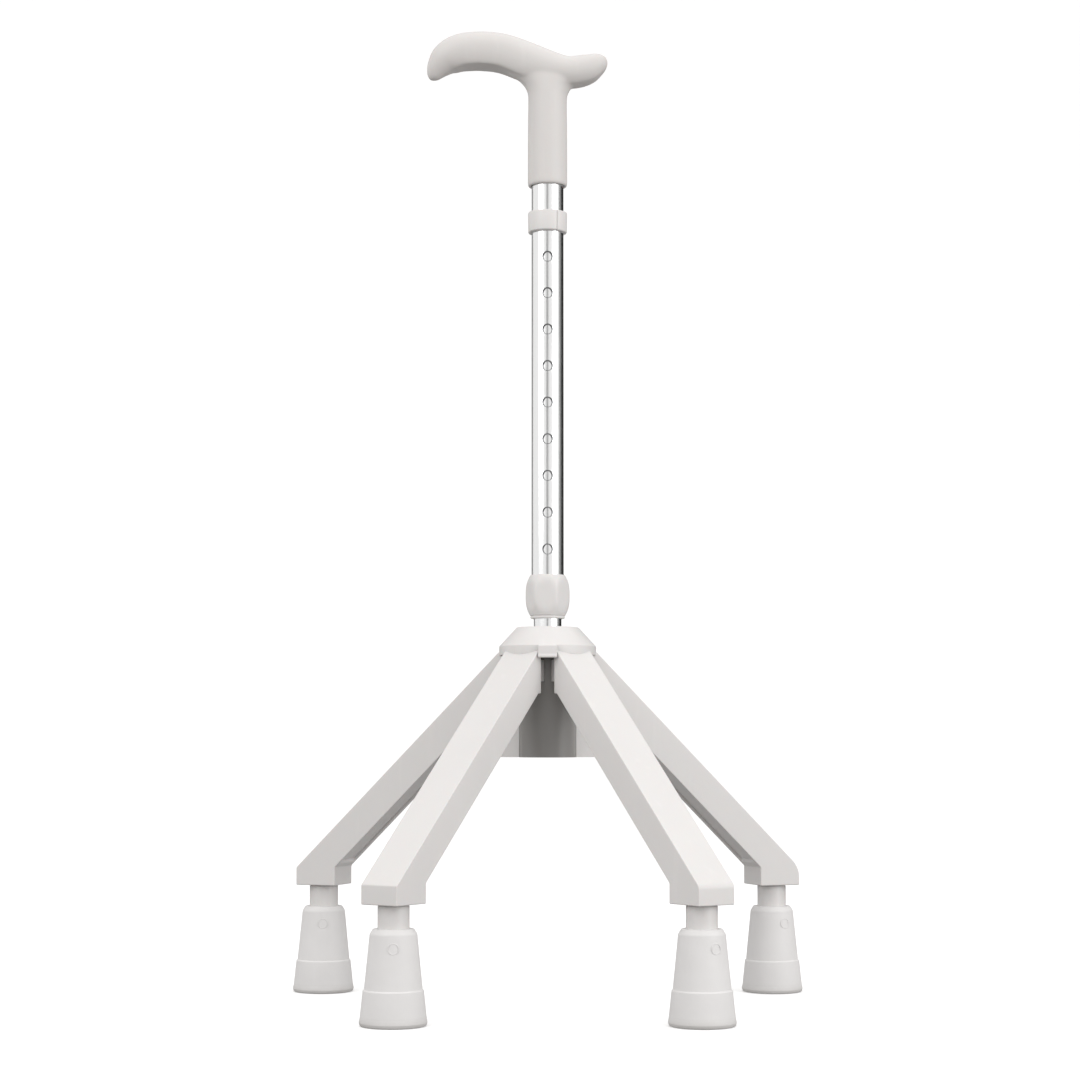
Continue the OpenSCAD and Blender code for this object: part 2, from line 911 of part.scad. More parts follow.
// a rubber foot: a grooved sole, a lower band and a tapering sleeve that grips the post
module foot() {
    groove = 2.2;
    color(RUBBER)
        translate([foot_circle_r, 0, 0])
            rotate_extrude()
                polygon([
                    [0, 0],
                    [foot_flare_r * 0.26, 0],
                    for (r = [0.26, 0.5, 0.74]) each [
                        [foot_flare_r * r, 0],
                        [foot_flare_r * r, tread_depth],
                        [foot_flare_r * r + groove, tread_depth],
                        [foot_flare_r * r + groove, 0]
                    ],
                    [foot_flare_r - 1.6, 0],
                    [foot_flare_r - 0.5, 0.6],
                    [foot_flare_r, 2],
                    [foot_flare_r - 0.15, 3.4],
                    [foot_band_r, foot_band_h - 0.4],
                    [foot_band_r - 0.3, foot_band_h],
                    [foot_waist_r, foot_band_h + 0.5],
                    [foot_top_r, foot_h - 2.6],
                    [foot_top_r - 0.5, foot_h - 0.8],
                    [foot_top_r - 1.8, foot_h],
                    [post_r + 0.03, foot_h],
                    [post_r + 0.03, foot_sole],
                    [0, foot_sole]
                ]);
}

module foot_front_left() {
    at_leg(FRONT_LEFT)
        foot();
}

module foot_front_right() {
    at_leg(FRONT_RIGHT)
        foot();
}

module foot_rear_left() {
    at_leg(REAR_LEFT)
        foot();
}

module foot_rear_right() {
    at_leg(REAR_RIGHT)
        foot();
}

module foot_washers() {
    color(STEEL)
        for (angle = LEG_ANGLES)
            at_leg(angle)
                translate([foot_circle_r, 0, foot_sole])
                    ring(post_r - 0.1, washer_hole_r, washer_t);
}

handle_grip();
handle_screw();
outer_tube();
guard_ring();
collet_ring();
lock_nut();
inner_tube();
glide_bush();
snap_button();
snap_spring();
hub_cap();
hub_core();
hub_screw();
leg_front_left();
leg_front_right();
leg_rear_left();
leg_rear_right();
cover_front_left();
cover_front_right();
cover_rear_left();
cover_rear_right();
leg_screws();
post_front_left();
post_front_right();
post_rear_left();
post_rear_right();
post_screws();
foot_front_left();
foot_front_right();
foot_rear_left();
foot_rear_right();
foot_washers();
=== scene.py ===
"""A quad walking cane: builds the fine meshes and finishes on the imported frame, in metres."""

import logging
import math
from dataclasses import dataclass, field
from enum import Enum
from functools import lru_cache
from typing import Callable, ClassVar, Sequence, Union

import bmesh
import bpy
from mathutils import Matrix, Vector


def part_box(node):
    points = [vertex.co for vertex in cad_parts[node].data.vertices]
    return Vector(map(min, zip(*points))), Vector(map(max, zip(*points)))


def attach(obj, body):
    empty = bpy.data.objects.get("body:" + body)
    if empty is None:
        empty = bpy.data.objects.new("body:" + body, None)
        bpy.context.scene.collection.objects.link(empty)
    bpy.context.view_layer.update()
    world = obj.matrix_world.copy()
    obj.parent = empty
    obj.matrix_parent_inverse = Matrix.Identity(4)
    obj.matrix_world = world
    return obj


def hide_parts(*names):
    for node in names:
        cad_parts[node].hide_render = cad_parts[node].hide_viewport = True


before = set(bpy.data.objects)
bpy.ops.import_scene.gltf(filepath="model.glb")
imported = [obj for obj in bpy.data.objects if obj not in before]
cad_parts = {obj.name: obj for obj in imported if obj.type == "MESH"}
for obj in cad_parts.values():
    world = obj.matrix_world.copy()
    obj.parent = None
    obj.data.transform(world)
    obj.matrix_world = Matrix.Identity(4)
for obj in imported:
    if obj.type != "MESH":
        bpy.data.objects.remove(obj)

log = logging.getLogger("cane")

MM = 0.001
ON_AXIS = 1e-7
Colour = tuple[float, float, float]
Point = tuple[float, float]
Corner = tuple[float, float, float]


class Body(Enum):
    """The bodies that pieces ride on."""

    BASE = "base"
    UPPER = "upper"
    NUT = "nut"


class Side(Enum):
    """The four corners of the base."""

    FRONT_LEFT = "front_left"
    FRONT_RIGHT = "front_right"
    REAR_LEFT = "rear_left"
    REAR_RIGHT = "rear_right"

    @property
    def on_right(self) -> bool:
        """Whether the leg stands on the right."""
        return self in (Side.FRONT_RIGHT, Side.REAR_RIGHT)


@dataclass(frozen=True)
class Box:
    """A CAD node's box at rest.

    Args:
        low: Its lowest corner.
        high: Its highest corner.
    """

    low: Vector
    high: Vector

    @classmethod
    @lru_cache(maxsize=None)
    def of(cls, node: str) -> "Box":
        """Reads the box of one CAD node."""
        return cls(*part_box(node))

    @property
    def centre(self) -> Vector:
        """The middle of the box."""
        return (self.low + self.high) / 2

    @property
    def size(self) -> Vector:
        """The box's three sides."""
        return self.high - self.low


# ---------------------------------------------------------------- shader nodes


class Value:
    """A number in a node tree: an expression on it adds Math nodes.

    Args:
        tree: The tree that the number lives in.
        socket: The output that carries it.
    """

    def __init__(self, tree: bpy.types.NodeTree, socket: bpy.types.NodeSocket) -> None:
        self.tree = tree
        self.socket = socket

    def math(self, operation: str, *terms: "Number", clamp: bool = False) -> "Value":
        """Adds one Math node.

        Args:
            operation: The node's operation.
            terms: Its inputs, in order.
            clamp: Whether the result stays between 0 and 1.

        Returns:
            The node's result.
        """
        node = self.tree.nodes.new("ShaderNodeMath")
        node.operation = operation
        node.use_clamp = clamp
        for slot, term in zip(node.inputs, terms):
            if isinstance(term, Value):
                self.tree.links.new(term.socket, slot)
            else:
                slot.default_value = term
        return Value(self.tree, node.outputs[0])

    def __add__(self, other: "Number") -> "Value":
        """Adds a number."""
        return self.math("ADD", self, other)

    def __radd__(self, other: "Number") -> "Value":
        """Adds to a number."""
        return self.math("ADD", other, self)

    def __sub__(self, other: "Number") -> "Value":
        """Takes a number away."""
        return self.math("SUBTRACT", self, other)

    def __rsub__(self, other: "Number") -> "Value":
        """Is taken away from a number."""
        return self.math("SUBTRACT", other, self)

    def __mul__(self, other: "Number") -> "Value":
        """Multiplies by a number."""
        return self.math("MULTIPLY", self, other)

    def __rmul__(self, other: "Number") -> "Value":
        """Multiplies a number."""
        return self.math("MULTIPLY", other, self)

    def above(self, floor: float, span: float) -> "Value":
        """How far the value is past a floor, from 0 to 1 over a span."""
        return self.math("MULTIPLY", self - floor, 1 / span, clamp=True)


Number = Union[float, Value]
Feed = Union[float, Sequence[float], Value, bpy.types.NodeSocket]


class Paint:
    """One material in the making.

    Args:
        name: The material's name.
        constants: The shader's own values, the same all over the surface.
    """

    def __init__(self, name: str, constants: dict[str, float]) -> None:
        self.material = bpy.data.materials.new(name)
        self.material.use_nodes = True
        self.tree = self.material.node_tree
        self.tree.nodes.clear()
        self.shader = self.node("ShaderNodeBsdfPrincipled", {})
        for key, value in constants.items():
            self.shader.inputs[key].default_value = value
        output = self.node("ShaderNodeOutputMaterial", {})
        self.tree.links.new(self.shader.outputs[0], output.inputs[0])
        self.place = self.node("ShaderNodeTexCoord", {}).outputs["Object"]

    def node(self, kind: str, settings: dict[str, object], **inputs: Feed) -> bpy.types.Node:
        """Adds one node.

        Args:
            kind: The node's type.
            settings: Its settings, set first.
            inputs: Values or links for its sockets, by name.

        Returns:
            The node.
        """
        node = self.tree.nodes.new(kind)
        for key, value in settings.items():
            setattr(node, key, value)
        for key, value in inputs.items():
            self.feed(node.inputs[key.replace("_", " ")], value)
        return node

    def feed(self, socket: bpy.types.NodeSocket, value: Feed) -> None:
        """Links or sets one input."""
        if isinstance(value, Value):
            self.tree.links.new(value.socket, socket)
        elif isinstance(value, bpy.types.NodeSocket):
            self.tree.links.new(value, socket)
        else:
            socket.default_value = value

    def noise(self, scale: float, detail: float = 2.0, stretch: Corner = (1, 1, 1)) -> Value:
        """Noise on the piece.

        Args:
            scale: Features per metre.
            detail: Octaves.
            stretch: How much finer the noise is along each axis.

        Returns:
            A number from 0 to 1.
        """
        place = self.node("ShaderNodeMapping", {}, Vector=self.place, Scale=stretch)
        noise = self.node(
            "ShaderNodeTexNoise", {}, Vector=place.outputs[0], Scale=scale, Detail=detail
        )
        return Value(self.tree, noise.outputs[0])

    def specks(self, scale: float, size: float) -> Value:
        """Round specks of one size, scattered at a scale in cells per metre."""
        cells = self.node("ShaderNodeTexVoronoi", {}, Vector=self.place, Scale=scale)
        distance = Value(self.tree, cells.outputs["Distance"])
        return 1 - distance.above(size, size * 0.5)

    def height(self) -> Value:
        """The height above the floor, in metres."""
        parts = self.node("ShaderNodeSeparateXYZ", {}, Vector=self.place)
        return Value(self.tree, parts.outputs["Z"])

    def mix(self, amount: Number, first: Feed, second: Feed) -> bpy.types.NodeSocket:
        """Mixes two colours."""
        node = self.tree.nodes.new("ShaderNodeMix")
        node.data_type = "RGBA"
        self.feed(node.inputs[0], amount)
        for socket, value in zip((node.inputs[6], node.inputs[7]), (first, second)):
            self.feed(socket, (*value, 1.0) if isinstance(value, tuple) else value)
        return node.outputs[2]

    def bumps(self, *layers: tuple[Value, float]) -> None:
        """Presses layers of relief into the surface.

        Args:
            layers: Each layer's height and its depth in metres.
        """
        normal = None
        for value, depth in layers:
            node = self.node("ShaderNodeBump", {}, Height=value, Distance=depth, Strength=1.0)
            if normal is not None:
                self.feed(node.inputs["Normal"], normal)
            normal = node.outputs[0]
        self.feed(self.shader.inputs["Normal"], normal)

    def surface(self, **inputs: Feed) -> None:
        """Feeds what varies over the surface to the shader."""
        for key, value in inputs.items():
            self.feed(self.shader.inputs[key.replace("_", " ")], value)


def shade(colour: Colour, amount: float) -> Colour:
    """Darkens or lightens a colour by a factor."""
    return tuple(min(1.0, part * amount) for part in colour)


# ---------------------------------------------------------------- finishes


@dataclass(frozen=True)
class MouldedPlastic:
    """Satin moulded plastic with a fine spark-eroded grain.

    Args:
        name: The material's name.
        colour: Its colour.
        gloss: Its mean roughness.
        grain: Grain cells per metre.
        grain_depth: The grain's depth.
        sink: The depth of the slow waves that cooling leaves.
    """

    name: str
    colour: Colour
    gloss: float = 0.4
    grain: float = 1500.0
    grain_depth: float = 0.00004
    sink: float = 0.0004

    def shades(self, paint: Paint) -> tuple[Feed, Feed]:
        """The darkest and lightest shade of the plastic itself."""
        return shade(self.colour, 0.955), shade(self.colour, 1.03)

    def build(self) -> bpy.types.Material:
        """Makes the material."""
        paint = Paint(self.name, {"IOR": 1.5, "Subsurface Weight": 0.04, "Subsurface Scale": 0.004})
        flow = paint.noise(14, 3, (1, 1, 0.4))
        grain = paint.noise(self.grain, 2)
        dust = paint.specks(240, 0.035)
        rubs = paint.noise(120, 4, (1, 1, 0.12)).above(0.62, 0.1)
        tone = paint.mix(flow, *self.shades(paint))
        tone = paint.mix(rubs * 0.25, tone, shade(self.colour, 1.08))
        tone = paint.mix(dust * 0.18, tone, shade(self.colour, 0.6))
        paint.surface(
            Base_Color=tone, Roughness=self.gloss + 0.16 * (grain - 0.5) + 0.1 * flow + 0.08 * rubs
        )
        paint.bumps((paint.noise(9, 1), self.sink), (grain, self.grain_depth))
        return paint.material


@dataclass(frozen=True)
class ColumnShadePlastic(MouldedPlastic):
    """Moulded plastic with painted shade: a darker round patch about the shaft that stands in for the
    shade on the hub's column.

    Args:
        sleeve: The colour of the painted shade on the column.
        axis: The shaft's place along Y.
        reach: The radius of the painted shade.
    """

    # painted shade: the column stands in shadow between the legs, and that darkness is painted on as
    # this colour
    sleeve: Colour = (0.30, 0.29, 0.28)
    axis: float = 0.0406
    reach: float = 0.0196

    def shades(self, paint: Paint) -> tuple[Feed, Feed]:
        """The painted shade's and the plastic's own tones, parted by the distance from the shaft."""
        parts = paint.node("ShaderNodeSeparateXYZ", {}, Vector=paint.place)
        across, along = Value(paint.tree, parts.outputs["X"]), Value(paint.tree, parts.outputs["Y"])
        deep = along - self.axis
        square = across * across + deep * deep
        # inside this radius the column gets the painted shade, outside it the plastic's own colour
        outside = square.math("SQRT", square).above(self.reach, 0.0002)
        return tuple(
            paint.mix(outside, shade(self.sleeve, amount), shade(self.colour, amount))
            for amount in (0.955, 1.03)
        )


@dataclass(frozen=True)
class DrawnAluminium:
    """Polished drawn tube: bright, with hair-fine lines along it.

    Args:
        name: The material's name.
        colour: The metal's colour.
        gloss: Its mean roughness.
    """

    name: str
    colour: Colour
    gloss: float = 0.13

    def build(self) -> bpy.types.Material:
        """Makes the material."""
        paint = Paint(self.name, {"Metallic": 1.0})
        lines = paint.noise(700, 3, (1, 1, 0.012))
        rings = paint.noise(500, 2, (0.03, 0.03, 1))
        smudge = paint.noise(35, 3).above(0.5, 0.25)
        scratch = paint.noise(260, 2, (1, 1, 0.05)).above(0.7, 0.04)
        paint.surface(
            Base_Color=paint.mix(lines, shade(self.colour, 0.93), self.colour),
            Roughness=self.gloss + 0.1 * lines + 0.06 * smudge + 0.12 * scratch,
        )
        paint.bumps((lines, 0.00002), (rings, 0.000006))
        return paint.material


@dataclass(frozen=True)
class Rubber:
    """Pale rubber: dull, finely pitted, a little soiled near the floor.

    Args:
        name: The material's name.
        colour: Its colour.
        soiled: The colour of what it picks up from the floor.
        soil_height: How high that reaches.
    """

    name: str
    colour: Colour
    soiled: Colour = (0.42, 0.40, 0.37)
    soil_height: float = 0.006

    def build(self) -> bpy.types.Material:
        """Makes the material."""
        paint = Paint(self.name, {"IOR": 1.48, "Sheen Weight": 0.12, "Sheen Roughness": 0.4})
        pits = paint.noise(1900, 3)
        cloud = paint.noise(45, 3)
        bloom = paint.specks(520, 0.05)
        soil = (1 - paint.height().above(0.0005, self.soil_height)) * cloud
        tone = paint.mix(cloud, shade(self.colour, 0.94), shade(self.colour, 1.03))
        tone = paint.mix(bloom * 0.2, tone, shade(self.colour, 0.8))
        tone = paint.mix(soil * 0.8, tone, self.soiled)
        paint.surface(Base_Color=tone, Roughness=0.6 + 0.14 * (pits - 0.5) - 0.08 * cloud)
        paint.bumps((cloud, 0.0003), (pits, 0.00006))
        return paint.material


@dataclass(frozen=True)
class TurnedMetal:
    """Plated steel or brass with turning marks.

    Args:
        name: The material's name.
        colour: The metal's colour.
        tarnish: The colour of its duller patches.
    """

    name: str
    colour: Colour
    tarnish: Colour

    def build(self) -> bpy.types.Material:
        """Makes the material."""
        paint = Paint(self.name, {"Metallic": 1.0})
        marks = paint.noise(1400, 2, (0.3, 0.3, 1))
        patches = paint.noise(260, 4)
        paint.surface(
            Base_Color=paint.mix(patches.above(0.45, 0.3), self.colour, self.tarnish),
            Roughness=0.24 + 0.2 * patches + 0.08 * marks,
        )
        paint.bumps((marks, 0.00003))
        return paint.material


class Finish(Enum):
    """The finishes on the object, one for each material slot."""

    GRIP = MouldedPlastic("grip_plastic", (0.655, 0.63, 0.615), gloss=0.46, grain=1200.0)
    BASE = MouldedPlastic("base_plastic", (0.73, 0.71, 0.70), gloss=0.38)
    # the hub core: base plastic with painted shade on its column
    CORE = ColumnShadePlastic("core_plastic_painted_shade", (0.73, 0.71, 0.70), gloss=0.34)
    POST = MouldedPlastic("post_plastic", (0.71, 0.69, 0.68), gloss=0.34, grain=1900.0)
    TUBE = DrawnAluminium("tube_aluminium", (0.93, 0.935, 0.94))
    RUBBER = Rubber("foot_rubber", (0.77, 0.755, 0.75))
    NYLON = MouldedPlastic("nylon", (0.82, 0.80, 0.74), gloss=0.5, sink=0.0001)
    # the holes' walls and eased rims: a duller cut edge, made darker still as painted shade inside the
    # holes
    PUNCHED = TurnedMetal("punched_edge_painted_shade", (0.30, 0.30, 0.31), (0.18, 0.18, 0.185))
    STEEL = TurnedMetal("steel", (0.60, 0.61, 0.62), (0.42, 0.42, 0.43))
    BRASS = TurnedMetal("brass", (0.72, 0.56, 0.30), (0.50, 0.36, 0.19))


# ---------------------------------------------------------------- outlines and meshes


def rounded(corners: Sequence[Corner], steps: int = 4) -> list[Point]:
    """Rounds the corners of a closed outline.

    Args:
        corners: Each corner's two coordinates and its radius.
        steps: Segments in each round.

    Returns:
        The outline's points.
    """
    points: list[Point] = []
    count = len(corners)
    for i, (x, y, radius) in enumerate(corners):
        here = Vector((x, y))
        if radius <= 0:
            points.append((x, y))
            continue
        back = (Vector(corners[i - 1][:2]) - here).normalized()
        ahead = (Vector(corners[(i + 1) % count][:2]) - here).normalized()
        half = back.angle(ahead) / 2
        reach = radius / math.tan(half)
        middle = here + (back + ahead).normalized() * (radius / math.sin(half))
        start, end = here + back * reach - middle, here + ahead * reach - middle
        turn = start.angle_signed(end)
        for k in range(steps + 1):
            spoke = start.copy()
            spoke.rotate(Matrix.Rotation(-turn * k / steps, 2))
            points.append(tuple(middle + spoke))
    return points


def smooth_line(stations: Sequence[Sequence[float]], steps: int) -> list[list[float]]:
    """Runs a smooth curve through stations.

    Args:
        stations: Rows of numbers, all of one length.
        steps: Segments between two stations.

    Returns:
        The curve's rows, the last station included.
    """
    last = len(stations) - 1
    rows = []
    for i in range(last):
        a, b, c, d = (stations[max(0, min(last, i + k))] for k in (-1, 0, 1, 2))
        for k in range(steps):
            t = k / steps
            rows.append(
                [
                    0.5 * (2 * q + (r - p) * t + (2 * p - 5 * q + 4 * r - s) * t**2
                           + (3 * q - p - 3 * r + s) * t**3)
                    for p, q, r, s in zip(a, b, c, d)
                ]
            )
    return rows + [list(stations[last])]


def soft_min(a: float, b: float, blend: float) -> float:
    """The lesser of two lengths, with the crossing rounded over a blend length."""
    near = max(0.0, blend - abs(a - b)) / blend
    return min(a, b) - near * near * blend / 4


class Form:
    """A mesh in the making, out of rings, grids and plates."""

    def __init__(self) -> None:
        self.mesh = bmesh.new()

    def skin(self, rows: Sequence[Sequence[Vector]], loop: bool = False) -> None:
        """Joins closed rings into a skin.

        Args:
            rows: Rings of one length; a ring of one point is a pole.
            loop: Whether the last ring joins the first. If not, both ends are capped.
        """
        rings = [[self.mesh.verts.new(point) for point in row] for row in rows]
        pairs = list(zip(rings, rings[1:] + rings[:1] if loop else rings[1:]))
        for low, high in pairs:
            self.band(low, high)
        if not loop:
            for ring in (rings[0], rings[-1]):
                if len(ring) > 2:
                    self.mesh.faces.new(ring)

    def band(self, low: list, high: list, part: int = 0) -> None:
        """Joins two rings, either of which may be a pole, with faces in one material slot."""
        count = max(len(low), len(high))
        for k in range(count):
            corners = [low[k % len(low)], low[(k + 1) % len(low)]]
            corners += [high[(k + 1) % len(high)], high[k % len(high)]]
            self.mesh.faces.new(list(dict.fromkeys(corners))).material_index = part

    def lathe(self, outline: Sequence[Point], centre: Vector, sides: int = 96) -> None:
        """Turns a closed outline about an upright axis.

        Args:
            outline: Radius and height of each point.
            centre: A point on the axis; its height is added to the outline's.
            sides: Segments around.
        """
        rows = []
        for radius, height in outline:
            if radius < ON_AXIS:
                rows.append([centre + Vector((0, 0, height))])
                continue
            rows.append([centre + spoke(radius, angle, height) for angle in bearings(sides)])
        on_axis = len(rows[0]) == 1 and len(rows[-1]) == 1
        self.skin(rows, loop=not on_axis)

    def plate(self, outline: Sequence[Point], width: float, place: Callable) -> None:
        """Makes a plate from an outline in distance and height.

        Args:
            outline: The points, in order.
            width: The plate's width.
            place: Puts a distance, a sideways distance and a height in the frame.
        """
        self.skin([[place(r, side * width / 2, z) for r, z in outline] for side in (-1, 1)])

    def build(self, name: str, crease: float = 35.0) -> bpy.types.Object:
        """Ends the mesh as an object.

        Args:
            name: The object's name.
            crease: The angle in degrees past which an edge stays sharp; 0 leaves it to a bevel.

        Returns:
            The object, linked to the scene.
        """
        bmesh.ops.recalc_face_normals(self.mesh, faces=self.mesh.faces)
        data = bpy.data.meshes.new(name)
        self.mesh.to_mesh(data)
        self.mesh.free()
        data.shade_smooth()
        if crease:
            data.set_sharp_from_angle(angle=math.radians(crease))
        item = bpy.data.objects.new(name, data)
        bpy.context.scene.collection.objects.link(item)
        return item


def bearings(count: int) -> list[float]:
    """Angles spread evenly over a full turn."""
    return [2 * math.pi * k / count for k in range(count)]


def spoke(radius: float, angle: float, height: float) -> Vector:
    """A point about an upright axis, its angle counted from +X."""
    return Vector((radius * math.cos(angle), radius * math.sin(angle), height))


def modify(item: bpy.types.Object, kind: str, **settings: object) -> bpy.types.Modifier:
    """Adds one modifier with its settings."""
    modifier = item.modifiers.new(kind.lower(), kind)
    for key, value in settings.items():
        setattr(modifier, key, value)
    return modifier


def freeze(item: bpy.types.Object) -> bpy.types.Object:
    """Turns an object's modifiers into its mesh."""
    bpy.context.view_layer.update()
    result = item.evaluated_get(bpy.context.evaluated_depsgraph_get())
    data = bpy.data.meshes.new_from_object(result)
    item.modifiers.clear()
    item.data = data
    return item


def soften(item: bpy.types.Object, width: float, angle: float = 28.0) -> bpy.types.Object:
    """Rounds an object's edges as a mould does.

    Args:
        item: The object.
        width: The rounds' width.
        angle: The least angle in degrees of an edge that is rounded.

    Returns:
        The same object.
    """
    modify(
        item, "BEVEL", width=width, segments=3, limit_method="ANGLE",
        angle_limit=math.radians(angle), harden_normals=True, miter_outer="MITER_ARC",
    )
    return freeze(item)


# ---------------------------------------------------------------- sub-assemblies


@dataclass
class Workshop:
    """Holds the finished materials and hands pieces over to the frame.

    Args:
        shaft: The axis of the shaft, at floor level.
        paints: The material of each finish.
    """

    shaft: Vector
    paints: dict[Finish, bpy.types.Material] = field(default_factory=dict)

    def __post_init__(self) -> None:
        """Makes every finish once."""
        for finish in Finish:
            self.paints[finish] = finish.value.build()

    def release(
        self, item: bpy.types.Object, body: Body, finishes: Union[Finish, Sequence[Finish]], *nodes: str
    ) -> None:
        """Dresses a piece and fixes it to its body.

        Args:
            item: The piece.
            body: The body that it rides on.
            finishes: Its finish, or the finish of each of its material slots.
            nodes: The CAD nodes that it stands for.
        """
        if isinstance(finishes, Finish):
            finishes = (finishes,)
        if item.data.materials:
            item.data.materials.clear()
        for part in finishes:
            item.data.materials.append(self.paints[part])
        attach(item, body.value)
        if nodes:
            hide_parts(*nodes)
        log.info("%s: %d faces on %s", item.name, len(item.data.polygons), body.value)

    def dress(self, finish: Finish, *nodes: str) -> None:
        """Gives CAD nodes that stay a finish."""
        for name in nodes:
            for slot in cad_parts[name].material_slots:
                slot.material = self.paints[finish]
            log.info("%s: keeps its shape, dressed in %s", name, finish.value.name)


@dataclass
class Handle:
    """The moulded handle: a swept grip on a round stem.

    Args:
        shop: The workshop.
        voxel: The fineness of the blend between grip and stem.
        smoothing: How often the blend is smoothed.
        sides: Segments around the grip and stem.
        line: The stations that the grip is swept through.
        stem: The stations of the stem.
        socket_radius: The radius of the bore that takes the tube.
        socket_depth: The bore's depth.
        pocket_gap: The clearance about the screw's head.
        pocket_seat: The pocket's seat, measured back from the axis.
        pocket_depth: How far the cutter reaches out from the seat.
    """

    shop: Workshop
    voxel: float = 0.0008
    smoothing: int = 14
    sides: int = 72
    # in millimetres: x, height over the stem's lower edge, half height, half depth, and how far
    # down the underside is cut flat, as a share of the half height
    line: tuple[tuple[float, float, float, float, float], ...] = (
        (-81.7, 76.2, 1.2, 1.8, 1.0),
        (-80.2, 79.0, 4.8, 5.0, 0.98),
        (-76.2, 85.7, 8.5, 9.0, 0.92),
        (-70.4, 91.9, 11.1, 11.8, 0.82),
        (-60.5, 96.5, 12.1, 13.4, 0.74),
        (-45.5, 97.6, 12.4, 14.0, 0.70),
        (-31.0, 95.8, 12.6, 14.0, 0.70),
        (-16.5, 90.5, 12.9, 14.0, 0.76),
        (-1.0, 84.6, 12.6, 13.9, 0.84),
        (14.0, 82.0, 10.6, 13.4, 0.84),
        (26.5, 83.8, 10.0, 12.4, 0.84),
        (34.5, 87.2, 7.7, 10.4, 0.90),
        (38.8, 89.0, 5.5, 7.4, 0.96),
        (41.5, 90.1, 2.2, 3.2, 1.0),
    )
    # in millimetres: height, reach to the left, reach to the right, half depth
    stem: tuple[tuple[float, float, float, float], ...] = (
        (1.6, 13.8, 13.8, 13.8),
        (40.0, 13.7, 13.7, 13.7),
        (62.0, 13.5, 13.6, 13.5),
        (67.0, 14.0, 14.8, 13.4),
        (70.5, 15.4, 16.8, 13.3),
        (73.2, 17.4, 20.6, 13.2),
        (76.4, 20.8, 25.0, 13.0),
        (80.5, 27.6, 25.0, 12.6),
        (88.0, 30.0, 20.0, 11.0),
    )
    socket_radius: float = 0.01145
    socket_depth: float = 0.054
    pocket_gap: float = 0.0003
    pocket_seat: float = 0.0122
    pocket_depth: float = 0.004

    def foot(self) -> Vector:
        """The middle of the stem's lower edge."""
        return self.shop.shaft + Vector((0, 0, Box.of("handle_grip").low.z))

    def section(self, row: Sequence[float], ahead: Vector) -> list[Vector]:
        """One ring of the grip: round above, cut flat below."""
        x, z, half, depth = (value * MM for value in row[:4])
        ring = []
        for angle in bearings(self.sides):
            rise = math.sin(angle)
            up = half * (rise if rise > 0 else max(-1.0, rise / row[4]))
            out = depth * math.copysign(abs(math.cos(angle)) ** 0.92, math.cos(angle))
            ring.append(self.foot() + Vector((x - ahead.y * up, out, z + ahead.x * up)))
        return ring

    def grip(self, form: Form) -> None:
        """Adds the grip's closed shell."""
        rows = smooth_line(self.line, 6)
        rings = []
        for i, row in enumerate(rows):
            back, front = rows[max(0, i - 1)], rows[min(len(rows) - 1, i + 1)]
            ahead = Vector((front[0] - back[0], front[1] - back[1])).normalized()
            rings.append(self.section(row, ahead))
        form.skin(rings)

    def shank(self, form: Form) -> None:
        """Adds the stem's closed shell, flared into the grip and bored from below."""
        rings = []
        lip = [(self.socket_radius / MM, self.socket_depth / MM), (self.socket_radius / MM, 0.4)]
        lip += [(self.socket_radius / MM + 0.5, 0.0), (12.7, 0.0), (13.4, 0.5)]
        rows = [(z, r, r, r) for r, z in lip] + smooth_line(self.stem, 5)
        for height, left, right, deep in rows:
            ring = []
            for angle in bearings(self.sides):
                reach = right if math.cos(angle) > 0 else left
                spot = Vector((reach * math.cos(angle), deep * math.sin(angle), height))
                ring.append(self.foot() + spot * MM)
            rings.append(ring)
        form.skin(rings)

    def screw_pocket(self) -> bpy.types.Object:
        """A cutter for the screw head's pocket in the stem's back."""
        head = Box.of("handle_screw")
        radius = head.size.z / 2 + self.pocket_gap
        seat = self.shop.shaft.y + self.pocket_seat
        rows = []
        for y in (seat, seat + self.pocket_depth):
            middle = Vector((0, y, head.centre.z))
            rows.append(
                [middle + Vector((radius * math.cos(a), 0, radius * math.sin(a))) for a in bearings(40)]
            )
        form = Form()
        form.skin(rows)
        return form.build("screw_pocket")

    def build(self) -> None:
        """Blends the shells into one skin, eases its edges and cuts the pocket."""
        form = Form()
        self.grip(form)
        self.shank(form)
        item = form.build("handle", crease=0)
        modify(item, "REMESH", mode="VOXEL", voxel_size=self.voxel, use_smooth_shade=True)
        modify(item, "SMOOTH", factor=0.5, iterations=self.smoothing)
        freeze(item)
        cutter = self.screw_pocket()
        modify(item, "BOOLEAN", operation="DIFFERENCE", object=cutter, solver="EXACT")
        freeze(item)
        bpy.data.objects.remove(cutter)
        item.data.shade_smooth()
        item.data.set_sharp_from_angle(angle=math.radians(40))
        self.shop.release(item, Body.UPPER, Finish.GRIP, "handle_grip")
        self.shop.dress(Finish.STEEL, "handle_screw")


